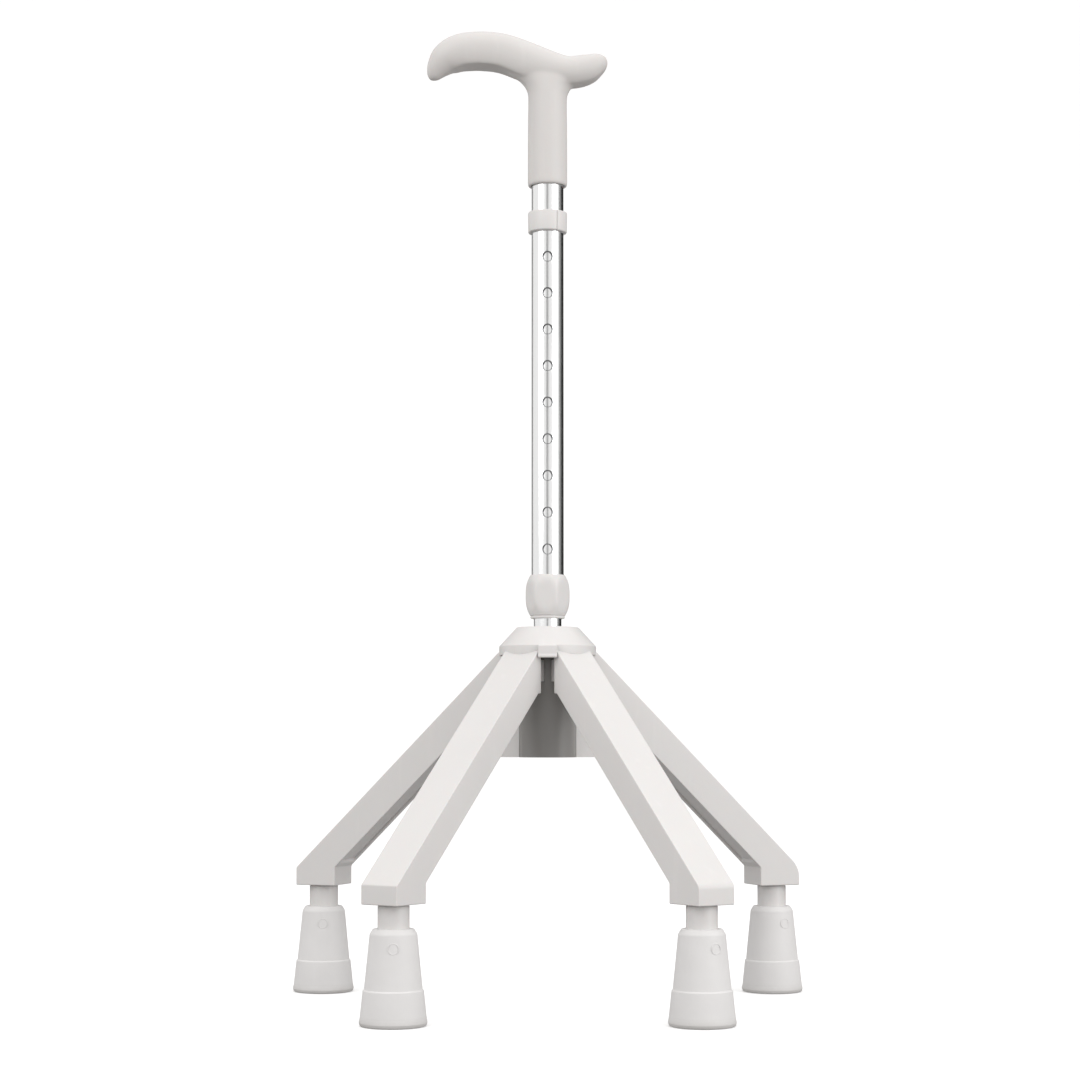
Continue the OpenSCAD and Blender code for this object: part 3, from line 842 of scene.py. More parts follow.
@dataclass
class PerforatedTube:
    """A round tube with holes down its front, each with an eased edge.

    Args:
        shop: The workshop.
        node: The CAD node that it stands for, which gives its ends and diameter.
        body: The body that it rides on.
        wall: Its wall thickness.
        holes: The heights of the holes.
        hole_radius: Their radius.
        ease: The width of the eased edge.
        patch: Half the side of the square cell about each hole.
        cells: Segments along one side of that cell.
        columns: Segments around the rest of the tube.
        steps: The places of the rings between a cell's border and its hole, from 1 to 0.
    """

    shop: Workshop
    node: str
    body: Body
    wall: float
    holes: list[float]
    hole_radius: float
    ease: float = 0.00045
    patch: float = 0.006
    cells: int = 10
    columns: int = 96
    steps: tuple[float, ...] = (0.55, 0.2, 0.0)

    def __post_init__(self) -> None:
        """Reads the tube's size off its CAD node."""
        box = Box.of(self.node)
        self.radius = box.size.x / 2
        self.low, self.high = box.low.z, box.high.z

    def point(self, radius: float, across: float, height: float) -> Vector:
        """A point on the tube's front half, at a distance across it."""
        return self.shop.shaft + Vector((across, -math.sqrt(radius**2 - across**2), height))

    def heights(self) -> list[tuple[float, int]]:
        """The grid's rows: each one's height, and the hole whose cell starts there or -1."""
        rows = [(self.low, -1)]
        for i, middle in enumerate(self.holes):
            step = 2 * self.patch / self.cells
            start = middle - self.patch
            rows += [(start + step * k, i if k == 0 else -1) for k in range(self.cells + 1)]
        return rows + [(self.high, -1)]

    def sheet(self, form: Form, radius: float) -> tuple[list, list, list]:
        """Makes one wall with its holes open.

        Args:
            form: The form that takes it.
            radius: The wall's radius.

        Returns:
            The lowest ring, the highest ring and the edge of each hole.
        """
        new = form.mesh.verts.new
        step = 2 * self.patch / self.cells
        front = [-self.patch + step * k for k in range(self.cells + 1)]
        limit = math.asin(self.patch / radius)
        back = [
            limit + (2 * math.pi - 2 * limit) * k / self.columns for k in range(1, self.columns)
        ]
        grid = []
        rows = self.heights()
        for height, _ in rows:
            ring = [new(self.point(radius, x, height)) for x in front]
            ring += [
                new(self.shop.shaft + Vector((radius * math.sin(a), -radius * math.cos(a), height)))
                for a in back
            ]
            grid.append(ring)
        edges = []
        skipped = set()
        for row, (_, hole) in enumerate(rows):
            if hole < 0:
                continue
            skipped |= {(row + i, k) for i in range(self.cells) for k in range(self.cells)}
            edges.append(self.hole(form, grid, row, radius, self.holes[hole]))
        for row in range(len(grid) - 1):
            low, high = grid[row], grid[row + 1]
            for k in range(len(low)):
                if (row, k) not in skipped:
                    m = (k + 1) % len(low)
                    form.mesh.faces.new([low[k], low[m], high[m], high[k]])
        spare = [v for ring in grid for v in ring if not v.link_faces]
        bmesh.ops.delete(form.mesh, geom=spare, context="VERTS")
        return grid[0], grid[-1], edges

    def hole(self, form: Form, grid: list, row: int, radius: float, middle: float) -> list:
        """Runs rings from a cell's square border in to the hole.

        Args:
            form: The form that takes them.
            grid: The wall's grid.
            row: The cell's first row.
            radius: The wall's radius.
            middle: The hole's height.

        Returns:
            The innermost ring.
        """
        n = self.cells
        border = [grid[row][k] for k in range(n)] + [grid[row + k][n] for k in range(n)]
        border += [grid[row + n][n - k] for k in range(n)]
        border += [grid[row + n - k][0] for k in range(n)]
        outer = radius > self.radius - self.wall / 2
        rim = self.hole_radius + (self.ease if outer else 0)
        ring = border
        for share in self.steps:
            inner = []
            for vert in border:
                across = vert.co.x - self.shop.shaft.x
                rise = vert.co.z - middle
                away = math.hypot(across, rise)
                wanted = (rim + (away - rim) * share) / away
                spot = self.point(radius, across * wanted, middle + rise * wanted)
                inner.append(form.mesh.verts.new(spot))
            form.band(ring, inner)
            ring = inner
        if not outer:
            return ring
        eased = []
        share = self.hole_radius / rim
        for vert in ring:
            across, rise = vert.co.x - self.shop.shaft.x, vert.co.z - middle
            spot = self.point(radius - self.ease, across * share, middle + rise * share)
            eased.append(form.mesh.verts.new(spot))
        # the eased rim takes the dark edge finish, which is partly painted shade
        form.band(ring, eased, 1)
        return eased

    def build(self, name: str) -> None:
        """Makes both walls, joins them and hands the tube over."""
        form = Form()
        outside = self.sheet(form, self.radius)
        inside = self.sheet(form, self.radius - self.wall)
        form.band(outside[0], inside[0])
        form.band(outside[1], inside[1])
        # the holes' walls take the dark edge finish, which is partly painted shade
        for a, b in zip(outside[2], inside[2]):
            form.band(a, b, 1)
        item = form.build(name, crease=30)
        self.shop.release(item, self.body, (Finish.TUBE, Finish.PUNCHED), self.node)


@dataclass
class GuardRing:
    """The split ring that clips over the top hole.

    Args:
        shop: The workshop.
        wall: Its wall thickness.
        bore_ease: How much wider its bore is than the wall alone would leave it.
        split: The angle of its split, from +X.
        gap: Half the split's angle.
        panel: The angle that the raised panel beside the split covers.
        ramp: The angle over which the panel rises.
        proud: How far the panel stands out.
        sides: Segments around.
    """

    shop: Workshop
    wall: float = 0.00255
    bore_ease: float = 0.0001
    split: float = math.radians(-61.5)
    gap: float = math.radians(1.5)
    panel: float = math.radians(96)
    ramp: float = math.radians(7)
    proud: float = 0.0007
    sides: int = 120

    def build(self) -> None:
        """Sweeps the ring's section around, from one side of the split to the other."""
        box = Box.of("guard_ring")
        outer = box.size.x / 2
        tall = box.size.z
        turn = 2 * math.pi - 2 * self.gap
        rings = []
        for k in range(self.sides + 1):
            swept = turn * k / self.sides
            left = turn - swept
            rise = min(1.0, max(0.0, (self.panel - left) / self.ramp))
            rise = rise * rise * (3 - 2 * rise)
            extra = self.proud * rise
            inner = outer - self.wall + self.bore_ease
            outline = rounded(
                [
                    (inner, 0, 0.0003),
                    (outer - 0.0002 + extra, 0, 0.0009),
                    (outer + extra, tall, 0.0007),
                    (inner, tall, 0.0003),
                ]
            )
            angle = self.split + self.gap + swept
            rings.append([self.shop.shaft + spoke(r, angle, box.low.z + z) for r, z in outline])
        form = Form()
        form.skin(rings)
        item = form.build("guard_ring_moulding", crease=50)
        self.shop.release(item, Body.UPPER, Finish.BASE, "guard_ring")


@dataclass
class LockNut:
    """The barrel nut that squeezes the tubes together.

    Args:
        shop: The workshop.
        end_radius: The barrel's radius at its ends.
        flats: How many finger flats it has.
        flat_radius: The distance of a flat from the axis.
        first: The angle of the first flat, from +X.
        ridge: How far the ridges between flats are rounded.
        lip: The height of the smaller lip below.
        lip_step: How far the lip stands inside the barrel's end.
        tube_fit: The clearance about the outer tube.
        neck_fit: The clearance about the inner tube.
        sides: Segments around.
        steps: Segments from the lip to the top.
    """

    shop: Workshop
    end_radius: float = 0.0121
    flats: int = 6
    flat_radius: float = 0.0137
    first: float = math.radians(-96)
    ridge: float = 0.0013
    lip: float = 0.0021
    lip_step: float = 0.0002
    tube_fit: float = 0.00012
    neck_fit: float = 0.0005
    sides: int = 144
    steps: int = 40

    def barrel(self, share: float, radius: float) -> float:
        """The barrel's radius at a share of its height."""
        bulge = radius - self.end_radius
        return self.end_radius + bulge * (1 - abs(2 * share - 1) ** 2.4)

    def outside(self, share: float, angle: float, radius: float) -> float:
        """The radius at a share of the height and an angle, flats taken off."""
        sector = 2 * math.pi / self.flats
        near = (angle - self.first + sector / 2) % sector - sector / 2
        return soft_min(self.barrel(share, radius), self.flat_radius / math.cos(near), self.ridge)

    def build(self) -> None:
        """Makes the barrel, its lip and the stepped bore."""
        box = Box.of("lock_nut")
        tall = box.size.z
        radius = max(box.size.x, box.size.y) / 2 + 0.0001
        tube = Box.of("outer_tube")
        tube_radius = tube.size.x / 2 + self.tube_fit
        neck = Box.of("inner_tube").size.x / 2 + self.neck_fit
        step = tube.low.z - box.low.z
        lip_radius = self.end_radius - self.lip_step
        rows: list[tuple[float, float, bool]] = [
            (neck, 0.0, False),
            (lip_radius - 0.0007, 0.0, False),
            (lip_radius - 0.0002, 0.0003, False),
            (lip_radius, 0.0009, False),
            (lip_radius - 0.0002, self.lip - 0.0005, False),
            (lip_radius - 0.0004, self.lip - 0.0002, False),
        ]
        for k in range(self.steps + 1):
            share = k / self.steps
            rows.append((share, self.lip + (tall - self.lip - 0.0004) * share, True))
        rows += [
            (self.end_radius - 0.0004, tall - 0.0001, False),
            (self.end_radius - 0.0009, tall, False),
            (tube_radius + 0.0001, tall, False),
            (tube_radius, tall - 0.0004, False),
            (tube_radius, step, False),
            (neck, step - 0.004, False),
        ]
        rings = []
        for first, height, moulded in rows:
            ring = []
            for angle in bearings(self.sides):
                reach = self.outside(first, angle, radius) if moulded else first
                ring.append(self.shop.shaft + spoke(reach, angle, box.low.z + height))
            rings.append(ring)
        form = Form()
        form.skin(rings, loop=True)
        item = form.build("lock_nut_moulding", crease=48)
        self.shop.release(item, Body.NUT, Finish.BASE, "lock_nut")
        self.shop.dress(Finish.NYLON, "collet_ring", "glide_bush")


@dataclass
class HubCap:
    """The cone that caps the hub, with a snap tab at the front and back.

    Args:
        shop: The workshop.
        top_radius: The cone's radius at the top.
        rim_radius: Its radius at the rim.
        rim: The rim's height.
        skirt: How far the rim reaches down over the legs.
        tall: The cap's height over the rim's lower edge.
        wall: Its wall thickness.
        tab_width: A tab's width.
        tab_wall: Its thickness.
        flare: How far a tab's lip turns outwards.
    """

    shop: Workshop
    top_radius: float = 0.0212
    rim_radius: float = 0.0334
    rim: float = 0.0024
    skirt: float = 0.0038
    tall: float = 0.0156
    wall: float = 0.0024
    tab_width: float = 0.0128
    tab_wall: float = 0.0019
    flare: float = 0.0006

    def tab(self, form: Form, facing: int) -> None:
        """Adds one tab; facing is -1 at the front and 1 at the back."""
        box = Box.of("hub_cap")
        edge = abs((box.low.y if facing < 0 else box.high.y) - self.shop.shaft.y)
        low, rim = box.low.z, box.high.z - self.tall
        outline = rounded(
            [
                (self.rim_radius - 0.004, rim + self.rim, 0.0),
                (self.rim_radius - 0.004, rim + 0.0006, 0.0),
                (edge - self.tab_wall, rim + 0.0004, 0.0004),
                (edge - self.tab_wall, low, 0.0005),
                (edge + self.flare, low + 0.0001, 0.0007),
                (edge + self.flare, low + 0.0014, 0.0006),
                (edge, low + 0.0026, 0.002),
                (edge, rim + self.rim, 0.0012),
            ]
        )

        def place(out: float, across: float, height: float) -> Vector:
            """Puts a point of the tab's outline in the frame."""
            return Vector((across, self.shop.shaft.y + facing * out, height))

        form.plate(outline, self.tab_width, place)

    def build(self) -> None:
        """Turns the cone and adds both tabs."""
        box = Box.of("hub_cap")
        base = box.high.z - self.tall
        bore = Box.of("inner_tube").size.x / 2 + 0.0002
        inner = self.rim_radius - self.wall
        outline = rounded(
            [
                (inner, -self.skirt, 0.0003),
                (self.rim_radius, -self.skirt, 0.0005),
                (self.rim_radius, self.rim, 0.0008),
                (self.top_radius, self.tall, 0.0016),
                (bore, self.tall, 0.0004),
                (bore, self.tall - self.wall, 0.0002),
                (self.top_radius - self.wall + 0.001, self.tall - self.wall, 0.001),
                (inner, self.rim, 0.0006),
            ]
        )
        form = Form()
        form.lathe(outline, self.shop.shaft + Vector((0, 0, base)), 128)
        cone = form.build("hub_cap_cone", crease=40)
        tabs = Form()
        for facing in (-1, 1):
            self.tab(tabs, facing)
        clips = soften(tabs.build("hub_cap_tabs", crease=0), 0.0005, 40)
        item = join([cone, clips], "hub_cap_moulding")
        self.shop.release(item, Body.BASE, Finish.BASE, "hub_cap")
        # the hub core's column is dressed with painted shade
        self.shop.dress(Finish.CORE, "hub_core")
        self.shop.dress(Finish.STEEL, "hub_screw")


def join(items: Sequence[bpy.types.Object], name: str) -> bpy.types.Object:
    """Joins objects that sit at the origin into one, and removes them."""
    merged = bmesh.new()
    for item in items:
        merged.from_mesh(item.data)
    data = bpy.data.meshes.new(name)
    merged.to_mesh(data)
    merged.free()
    for item in items:
        bpy.data.objects.remove(item)
    whole = bpy.data.objects.new(name, data)
    bpy.context.scene.collection.objects.link(whole)
    return whole


@dataclass
class Leg:
    """One leg: a channel from the hub down to a block, with its cover and post.

    Args:
        shop: The workshop.
        side: The corner of the base where it stands.
        width: The leg's width.
        drop: Its depth, measured upright.
        start: The distance from the shaft at which its upper face starts to fall.
        lead: How much further in it runs, level, under the cap's skirt.
        block: The block's length.
        block_height: The block's height.
        wall: Its wall thickness.
        socket: The distance at which the solid socket ends and the channel starts.
        cover_inset: How far the cover is set in.
        cover_wall: The cover's thickness.
        cover_gap: The shadow gap along each of the cover's sides.
        arm: The distance at which the hub's arm ends inside the socket.
        pocket: The radius of the screw's pocket and its depth.
        post_radius: The post's radius.
        neck: The depth and height of the groove at the post's upper end.
        knees: The radius of each leg's knee.
    """

    shop: Workshop
    side: Side
    width: float = 0.0285
    drop: float = 0.029
    start: float = 0.031
    lead: float = 0.003
    block: float = 0.030
    block_height: float = 0.0125
    wall: float = 0.0028
    socket: float = 0.063
    cover_inset: float = 0.0016
    cover_wall: float = 0.002
    cover_gap: float = 0.0008
    arm: float = 0.060
    pocket: tuple[float, float] = (0.0045, 0.0026)
    post_radius: float = 0.010
    neck: float = 0.0009
    knees: ClassVar[dict[Side, float]] = {
        Side.FRONT_LEFT: 0.0015,
        Side.FRONT_RIGHT: 0.006,
        Side.REAR_LEFT: 0.0015,
        Side.REAR_RIGHT: 0.017,
    }

    def __post_init__(self) -> None:
        """Works out the leg's direction, reach and slope from its CAD nodes."""
        post = Box.of(f"post_{self.side.value}").centre
        self.ground = Vector((post.x, post.y, 0))
        reach = self.ground - self.shop.shaft
        self.reach = reach.length
        self.ahead = reach.normalized()
        self.across = Vector((-self.ahead.y, self.ahead.x, 0))
        box = Box.of(f"leg_{self.side.value}")
        self.top, self.end = box.high.z, box.low.z
        self.outer = self.reach + self.block / 2
        self.inner = self.reach - self.block / 2
        self.fall = (self.top - self.end - self.block_height) / (self.outer - self.start)
        self.lean = math.atan(self.fall)

    def place(self, out: float, across: float, height: float) -> Vector:
        """Puts a distance along the leg, one across it and a height in the frame."""
        return self.shop.shaft + self.ahead * out + self.across * across + Vector((0, 0, height))

    def roof(self, out: float) -> float:
        """The height of the leg's upper face at a distance."""
        return self.top - (out - self.start) * self.fall

    def upright(self, thick: float) -> float:
        """A thickness square to the slope, measured upright."""
        return thick / math.cos(self.lean)

    def outline(self) -> list[Point]:
        """The leg's side view, from its inner end over the knee and back underneath."""
        knee = self.knees[self.side]
        under = max(self.roof(self.inner) - self.drop, self.end + 0.001)
        return rounded(
            [
                (self.start - self.lead, self.top, 0.0),
                (self.start, self.top, 0.0),
                (self.outer, self.end + self.block_height, knee),
                (self.outer, self.end, 0.0),
                (self.inner, self.end, 0.0),
                (self.inner, under, 0.0),
                (self.start, self.top - self.drop, 0.0),
                (self.start - self.lead, self.top - self.drop, 0.0),
            ],
            steps=10,
        )

    def screw_cutter(self) -> bpy.types.Object:
        """A cutter for the screw head's pocket under the socket."""
        radius, depth = self.pocket
        middle = (self.start + self.arm) / 2
        down = self.ahead * -math.sin(self.lean) + Vector((0, 0, -math.cos(self.lean)))
        along = down.cross(self.across)
        seat = self.place(middle, 0, self.roof(middle) - self.drop) - down * depth
        form = Form()
        ring = [
            self.across * (radius * math.cos(a)) + along * (radius * math.sin(a)) for a in bearings(32)
        ]
        form.skin([[seat + p for p in ring], [seat + down * 0.01 + p for p in ring]])
        return form.build("screw_cutter")

    def channel_cutter(self) -> bpy.types.Object:
        """A cutter for the channel under the leg."""
        end = self.inner - self.wall
        form = Form()
        form.plate(
            [
                (self.socket, self.roof(self.socket) - self.upright(self.wall)),
                (end, self.roof(end) - self.upright(self.wall)),
                (end, self.roof(end) - self.drop - 0.02),
                (self.socket, self.roof(self.socket) - self.drop - 0.02),
            ],
            self.width - 2 * self.wall,
            self.place,
        )
        return form.build("channel_cutter")

    def shell(self) -> bpy.types.Object:
        """The leg's own moulding."""
        form = Form()
        form.plate(self.outline(), self.width, self.place)
        item = form.build(f"leg_{self.side.value}_moulding", crease=0)
        cutters = [self.channel_cutter(), self.screw_cutter()]
        for cutter in cutters:
            modify(item, "BOOLEAN", operation="DIFFERENCE", object=cutter, solver="EXACT")
        freeze(item)
        for cutter in cutters:
            bpy.data.objects.remove(cutter)
        return soften(item, 0.0007)

    def cover(self) -> bpy.types.Object:
        """The strip that closes the channel."""
        start, end = self.socket + 0.0003, self.inner - self.wall - 0.0003
        under = self.drop - self.upright(self.cover_inset)
        over = self.drop - self.upright(self.cover_inset + self.cover_wall)
        outline = [
            (start, self.roof(start) - under),
            (end, self.roof(end) - under),
            (end, self.roof(end) - over),
            (start, self.roof(start) - over),
        ]
        form = Form()
        form.plate(outline, self.width - 2 * self.wall - 2 * self.cover_gap, self.place)
        return soften(form.build(f"cover_{self.side.value}_strip", crease=0), 0.0004)

    def post(self) -> bpy.types.Object:
        """The post between the leg and the foot."""
        low = Box.of(f"post_{self.side.value}").low.z
        form = Form()
        outline = rounded(
            [
                (0.004, low, 0.0),
                (self.post_radius, low, 0.0008),
                (self.post_radius, self.end - self.neck, 0.0003),
                (self.post_radius - self.neck, self.end - self.neck, 0.0),
                (self.post_radius - self.neck, self.end + 0.0004, 0.0),
                (0.004, self.end + 0.0004, 0.0),
            ]
        )
        form.lathe(outline, self.ground)
        return form.build(f"post_{self.side.value}_turned")

    def build(self) -> None:
        """Makes the leg's pieces."""
        name = self.side.value
        self.shop.release(self.shell(), Body.BASE, Finish.BASE, f"leg_{name}")
        self.shop.release(self.cover(), Body.BASE, Finish.BASE, f"cover_{name}")
        self.shop.release(self.post(), Body.BASE, Finish.POST, f"post_{name}")


@dataclass
class Foot:
    """A rubber foot: a tapering sleeve over a grooved band, with a ring mark of its mould.

    Args:
        shop: The workshop.
        side: The corner of the base where it stands.
        flare: The sole's radius.
        band: The band's radius at its upper edge.
        waist: The sleeve's radius above the band.
        top: The sleeve's radius at its top.
        band_height: The band's height.
        tread: The depth of the sole's grooves.
        grooves: How many grooves the sole has.
        groove: A groove's width.
        mark: The radius of the mould's ring mark.
        mark_height: Its height over the floor.
        mark_bead: Half the bead's width, and how far it stands out.
        mark_bearings: The mark's bearing in degrees on the right and left feet.
        shoulder: The height at which the sleeve's taper would reach its top radius.
    """

    shop: Workshop
    side: Side
    flare: float = 0.0214
    band: float = 0.0191
    waist: float = 0.0183
    top: float = 0.0145
    band_height: float = 0.022
    tread: float = 0.002
    grooves: int = 3
    groove: float = 0.0022
    mark: float = 0.0033
    mark_height: float = 0.0485
    mark_bead: Point = (0.00035, 0.00022)
    mark_bearings: Point = (-60, -87)
    shoulder: float = 0.060

    def sole(self) -> list[Corner]:
        """The sole's outline, with its round grooves."""
        corners: list[Corner] = [(0.0, 0.0, 0.0)]
        pitch = self.flare / (self.grooves + 1)
        for k in range(1, self.grooves + 1):
            near = pitch * k
            corners += [
                (near, 0.0, 0.0003),
                (near, self.tread, 0.0005),
                (near + self.groove, self.tread, 0.0005),
                (near + self.groove, 0.0, 0.0003),
            ]
        return corners

    def outline(self) -> list[Point]:
        """The foot's half section."""
        box = Box.of(f"foot_{self.side.value}")
        post = Box.of(f"post_{self.side.value}")
        tall = box.high.z
        bore = post.size.x / 2 + 0.00005
        return rounded(
            self.sole()
            + [
                (self.flare - 0.0006, 0.0, 0.0011),
                (self.flare, 0.0022, 0.0008),
                (self.flare - 0.00055, 0.0052, 0.001),
                (self.band, self.band_height - 0.0002, 0.0007),
                (self.waist, self.band_height + 0.0005, 0.0005),
                (self.top + 0.0004, tall - 0.0032, 0.003),
                (self.top - 0.0016, tall, 0.0012),
                (bore, tall, 0.0004),
                (bore, post.low.z - 0.0015, 0.0),
                (0.0, post.low.z - 0.0015, 0.0),
            ]
        )

    def mark_ring(self, form: Form, centre: Vector) -> None:
        """Adds the mould's ring mark, which sits in the sleeve's face."""
        height = self.mark_height
        lean = (self.waist - self.top) / (self.shoulder - self.band_height)
        reach = self.waist - (height - self.band_height) * lean
        bearing = math.radians(self.mark_bearings[0 if self.side.on_right else 1])
        out = Vector((math.cos(bearing), math.sin(bearing), lean)).normalized()
        across = Vector((0, 0, 1)).cross(out).normalized()
        up = out.cross(across)
        middle = centre + spoke(reach, bearing, height)
        wide, proud = self.mark_bead
        rings = []
        for a in bearings(36):
            away = across * math.cos(a) + up * math.sin(a)
            rings.append(
                [middle + away * (self.mark + wide * math.cos(b)) + out * (proud * math.sin(b))
                 for b in bearings(8)]
            )
        form.skin(rings, loop=True)

    def build(self) -> None:
        """Turns the foot and adds its mark."""
        centre = Box.of(f"foot_{self.side.value}").centre * Vector((1, 1, 0))
        form = Form()
        form.lathe(self.outline(), centre, 112)
        self.mark_ring(form, centre)
        item = form.build(f"foot_{self.side.value}_rubber", crease=42)
        self.shop.release(item, Body.BASE, Finish.RUBBER, f"foot_{self.side.value}")


@dataclass
class TreadStuds:
    """The studs between the grooves of every sole, grown by Geometry Nodes.

    Args:
        shop: The workshop.
        radius: The radius of the ring of studs.
        count: How many studs each foot has.
        stud: A stud's radius.
        tall: A stud's height.
    """

    shop: Workshop
    radius: float = 0.0188
    count: int = 24
    stud: float = 0.0009
    tall: float = 0.0004

    def tree(self) -> bpy.types.NodeTree:
        """Builds the node tree that puts a ring of studs on each point."""
        tree = bpy.data.node_groups.new("tread_studs", "GeometryNodeTree")
        face = tree.interface
        face.new_socket("Geometry", in_out="INPUT", socket_type="NodeSocketGeometry")
        for name in ("Ring Radius", "Stud Radius", "Stud Height"):
            face.new_socket(name, in_out="INPUT", socket_type="NodeSocketFloat")
        face.new_socket("Count", in_out="INPUT", socket_type="NodeSocketInt")
        face.new_socket("Finish", in_out="INPUT", socket_type="NodeSocketMaterial")
        face.new_socket("Geometry", in_out="OUTPUT", socket_type="NodeSocketGeometry")
        add = tree.nodes.new
        start, end = add("NodeGroupInput"), add("NodeGroupOutput")
        ring, stud = add("GeometryNodeMeshCircle"), add("GeometryNodeMeshCone")
        on_ring, on_feet = add("GeometryNodeInstanceOnPoints"), add("GeometryNodeInstanceOnPoints")
        real, finish = add("GeometryNodeRealizeInstances"), add("GeometryNodeSetMaterial")
        stud.inputs["Vertices"].default_value = 12
        stud.fill_type = "NGON"
        links = [
            (start.outputs["Ring Radius"], ring.inputs["Radius"]),
            (start.outputs["Count"], ring.inputs["Vertices"]),
            (start.outputs["Stud Radius"], stud.inputs["Radius Bottom"]),
            (start.outputs["Stud Radius"], stud.inputs["Radius Top"]),
            (start.outputs["Stud Height"], stud.inputs["Depth"]),
            (ring.outputs["Mesh"], on_ring.inputs["Points"]),
            (stud.outputs["Mesh"], on_ring.inputs["Instance"]),
            (start.outputs["Geometry"], on_feet.inputs["Points"]),
            (on_ring.outputs["Instances"], on_feet.inputs["Instance"]),
            (on_feet.outputs["Instances"], real.inputs["Geometry"]),
            (real.outputs["Geometry"], finish.inputs["Geometry"]),
            (start.outputs["Finish"], finish.inputs["Material"]),
            (finish.outputs["Geometry"], end.inputs["Geometry"]),
        ]
        for source, target in links:
            tree.links.new(source, target)
        return tree

    def build(self) -> None:
        """Grows the studs and hands them over as one plain mesh."""
        data = bpy.data.meshes.new("tread_points")
        centres = [Box.of(f"foot_{side.value}").centre for side in Side]
        data.from_pydata([(c.x, c.y, self.tall / 2) for c in centres], [], [])
        item = bpy.data.objects.new("tread_studs", data)
        bpy.context.scene.collection.objects.link(item)
        tree = self.tree()
        modifier = item.modifiers.new("studs", "NODES")
        modifier.node_group = tree
        values = {
            "Ring Radius": self.radius,
            "Stud Radius": self.stud,
            "Stud Height": self.tall,
            "Count": self.count,
            "Finish": self.shop.paints[Finish.RUBBER],
        }
        for socket in tree.interface.items_tree:
            if socket.name in values:
                modifier[socket.identifier] = values[socket.name]
        freeze(item)
        self.shop.release(item, Body.BASE, Finish.RUBBER)


# ---------------------------------------------------------------- studio


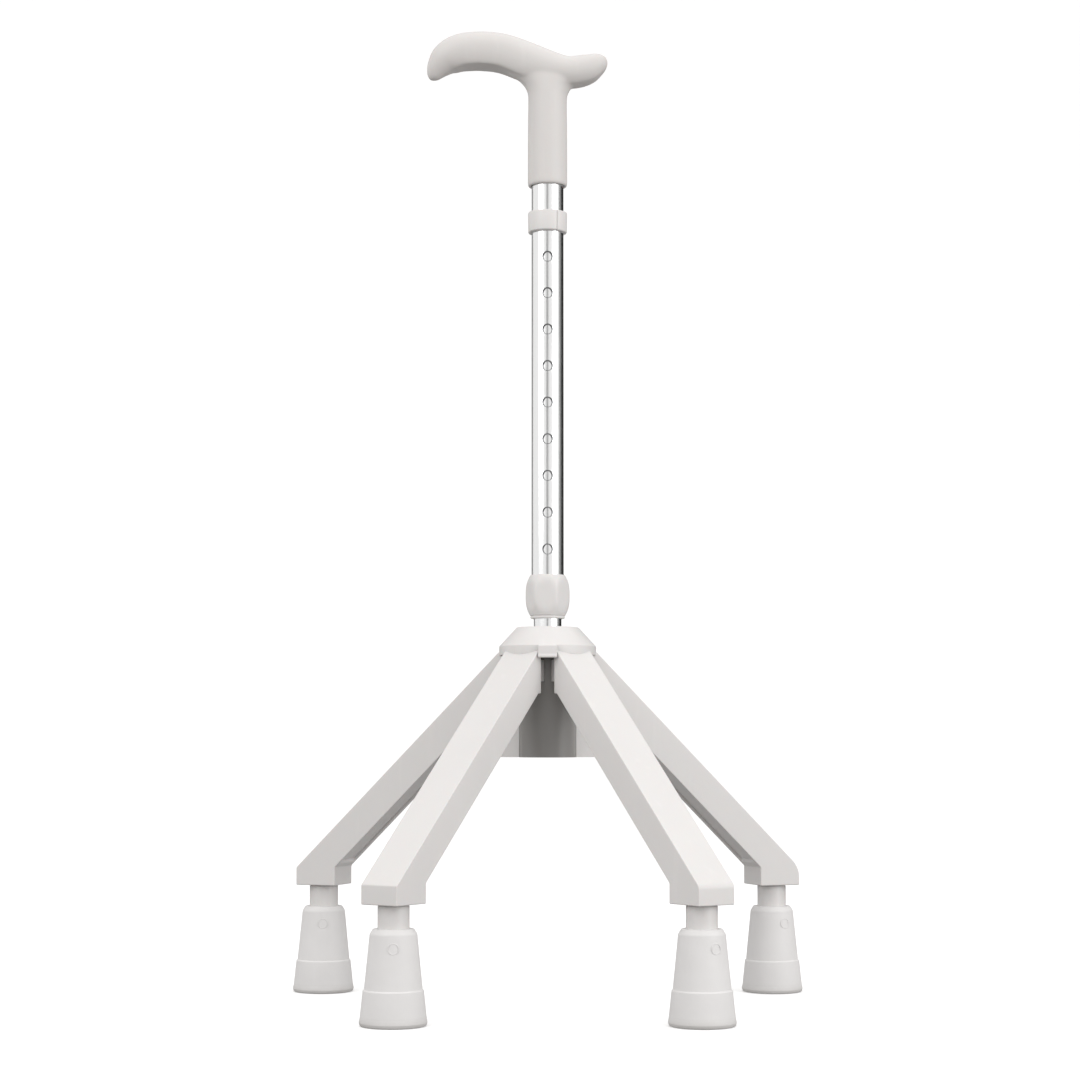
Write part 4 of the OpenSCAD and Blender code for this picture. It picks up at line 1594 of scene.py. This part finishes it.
@dataclass
class Studio:
    """The floor, the lights and the camera.

    Args:
        distance: How far the camera stands in front of the shaft.
        eye: The camera's height.
        tilt: How far it looks up, in degrees.
        swing: How far it looks to the left, in degrees.
        shift: How far the frame is raised, as a share of its width.
        lens: Its focal length in millimetres.
        flat: The radius of the floor's flat part.
        bend: The radius of its curve up into the wall.
        wall: The wall's height.
    """

    distance: float = 1.585
    eye: float = 0.1795
    tilt: float = 3.6
    swing: float = 0.19
    shift: float = 0.048
    lens: float = 76.7
    flat: float = 3.2
    bend: float = 1.6
    wall: float = 4.0

    def floor(self) -> None:
        """A pale floor that curves up into a wall all round."""
        constants = {"Roughness": 0.9, "Specular IOR Level": 0.1, "Emission Strength": 0.24}
        paint = Paint("floor", constants)
        paint.shader.inputs["Emission Color"].default_value = (1, 1, 1, 1)
        cloud = paint.noise(1.5, 2)
        paint.surface(Base_Color=paint.mix(cloud, (0.87, 0.87, 0.87), (0.90, 0.90, 0.90)))
        form = Form()
        outline = [(0.0, 0.0), (self.flat, 0.0)]
        outline += [
            (self.flat + self.bend * math.sin(a), self.bend - self.bend * math.cos(a))
            for a in (math.pi / 2 * k / 12 for k in range(1, 13))
        ]
        edge = self.flat + self.bend
        outline += [(edge, self.wall), (edge + 0.01, self.wall), (edge + 0.01, -0.01), (0.0, -0.01)]
        form.lathe(outline, Vector((0, 0, -0.0002)), 64)
        item = form.build("studio_floor", crease=60)
        item.data.materials.append(paint.material)
        item.visible_diffuse = False
        item.visible_glossy = False

    def card(
        self, shaft: Vector, name: str, near: float, far: float, away: float, tone: float
    ) -> None:
        """Stands a curved card where only reflections meet it.

        Args:
            shaft: The axis of the shaft, at floor level.
            name: Its name.
            near: The bearing of one edge about the shaft, in degrees from the camera.
            far: The bearing of its other edge, positive to the right.
            away: Its distance from the shaft.
            tone: Its grey.
        """
        paint = Paint(name, {"Roughness": 0.9, "Specular IOR Level": 0.0})
        grain = paint.noise(4, 2)
        paint.surface(Base_Color=paint.mix(grain, (tone,) * 3, (tone * 1.1,) * 3))
        rows = []
        parts = 16
        for out in (away, away + 0.01):
            for height in (-0.2, 1.9):
                rows.append([])
                for k in range(parts + 1):
                    bearing = math.radians(near + (far - near) * k / parts)
                    spot = Vector((math.sin(bearing) * out, -math.cos(bearing) * out, height))
                    rows[-1].append(shaft + spot)
        form = Form()
        lines = [[form.mesh.verts.new(point) for point in row] for row in rows]
        for one, two in ((0, 1), (1, 3), (3, 2), (2, 0)):
            for k in range(parts):
                form.mesh.faces.new(
                    [lines[one][k], lines[one][k + 1], lines[two][k + 1], lines[two][k]]
                )
        for k in (0, parts):
            form.mesh.faces.new([lines[0][k], lines[1][k], lines[3][k], lines[2][k]])
        item = form.build(name)
        item.data.materials.append(paint.material)
        item.visible_camera = False
        item.visible_shadow = False
        item.visible_diffuse = False

    def bounce(self) -> None:
        """A grey board that reflections and bounced light meet in the floor's place."""
        constants = {"Roughness": 0.9, "Specular IOR Level": 0.0, "Emission Strength": 0.16}
        paint = Paint("bounce", constants)
        paint.shader.inputs["Emission Color"].default_value = (1, 1, 1, 1)
        cloud = paint.noise(2, 2)
        paint.surface(Base_Color=paint.mix(cloud, (0.16, 0.155, 0.15), (0.20, 0.195, 0.19)))
        form = Form()
        form.lathe([(0.0, 0.0), (2.6, 0.0), (2.6, 0.01), (0.0, 0.01)], Vector((0, 0, -0.03)), 48)
        item = form.build("bounce_board")
        item.data.materials.append(paint.material)
        item.visible_camera = False
        item.visible_shadow = False

    def lamp(self, name: str, spot: Vector, aim: Vector, size: Point, power: float) -> None:
        """Adds one soft box that looks at a point.

        Args:
            name: Its name.
            spot: Where it stands.
            aim: What it looks at.
            size: Its width and height.
            power: Its power in watts.
        """
        data = bpy.data.lights.new(name, "AREA")
        data.shape = "RECTANGLE"
        data.size, data.size_y = size
        data.energy = power
        item = bpy.data.objects.new(name, data)
        item.location = spot
        item.rotation_euler = (aim - spot).to_track_quat("-Z", "Y").to_euler()
        bpy.context.scene.collection.objects.link(item)

    def lights(self, aim: Vector) -> None:
        """A big soft key from the left, a fill from the right, a top light and a pale world."""
        self.lamp("key", aim + Vector((-1.5, -1.4, 1.1)), aim, (1.3, 1.8), 14)
        self.lamp("fill", aim + Vector((1.7, -1.2, 0.4)), aim, (1.2, 1.8), 18)
        self.lamp("top", aim + Vector((0, 0.2, 2.0)), aim, (1.8, 1.8), 5)
        world = bpy.data.worlds.new("studio")
        world.use_nodes = True
        back = world.node_tree.nodes["Background"]
        back.inputs["Color"].default_value = (1.0, 0.995, 0.985, 1)
        back.inputs["Strength"].default_value = 0.9
        bpy.context.scene.world = world

    def camera(self, shaft: Vector) -> None:
        """Stands the camera in front of the shaft."""
        data = bpy.data.cameras.new("camera")
        data.lens = self.lens
        data.sensor_width = 36
        data.shift_y = self.shift
        data.dof.use_dof = False
        item = bpy.data.objects.new("camera", data)
        item.location = Vector((0, shaft.y - self.distance, self.eye))
        item.rotation_euler = (math.radians(90 + self.tilt), 0, math.radians(self.swing))
        bpy.context.scene.collection.objects.link(item)
        bpy.context.scene.camera = item

    def build(self, shaft: Vector) -> None:
        """Sets the stage."""
        self.floor()
        self.bounce()
        cards = (
            ("edge_card_right", 114, 176, 1.5, 0.03),
            ("shade_card_right", 92, 114, 1.6, 0.28),
            ("edge_card_left", -176, -130, 1.5, 0.28),
            ("front_card", -8.5, 5.5, 2.1, 0.42),
        )
        for card in cards:
            self.card(shaft, *card)
        self.lights(shaft + Vector((0, 0, 0.3)))
        self.camera(shaft)
        bpy.context.scene.view_settings.view_transform = "Standard"


def main() -> None:
    """Builds the cane in order and sets the stage."""
    logging.basicConfig(level=logging.INFO, format="%(message)s")
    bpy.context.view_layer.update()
    axis = Box.of("inner_tube").centre
    shop = Workshop(Vector((axis.x, axis.y, 0)))
    Studio().build(shop.shaft)

    first_hole, pitch, count, radius, wall = 0.040, 0.0254, 10, 0.0033, 0.0012
    holes = [Box.of("outer_tube").low.z + first_hole + pitch * k for k in range(count)]
    for node, body, open_at in (
        ("outer_tube", Body.UPPER, holes),
        ("inner_tube", Body.BASE, holes[-1:]),
    ):
        PerforatedTube(shop, node, body, wall, open_at, radius).build(f"{node}_drawn")
    Handle(shop).build()
    GuardRing(shop).build()
    LockNut(shop).build()
    HubCap(shop).build()
    for side in Side:
        Leg(shop, side).build()
        Foot(shop, side).build()
    TreadStuds(shop).build()
    shop.dress(Finish.STEEL, "leg_screws", "post_screws", "foot_washers", "snap_spring")
    shop.dress(Finish.BRASS, "snap_button")


if __name__ == "__main__":
    main()
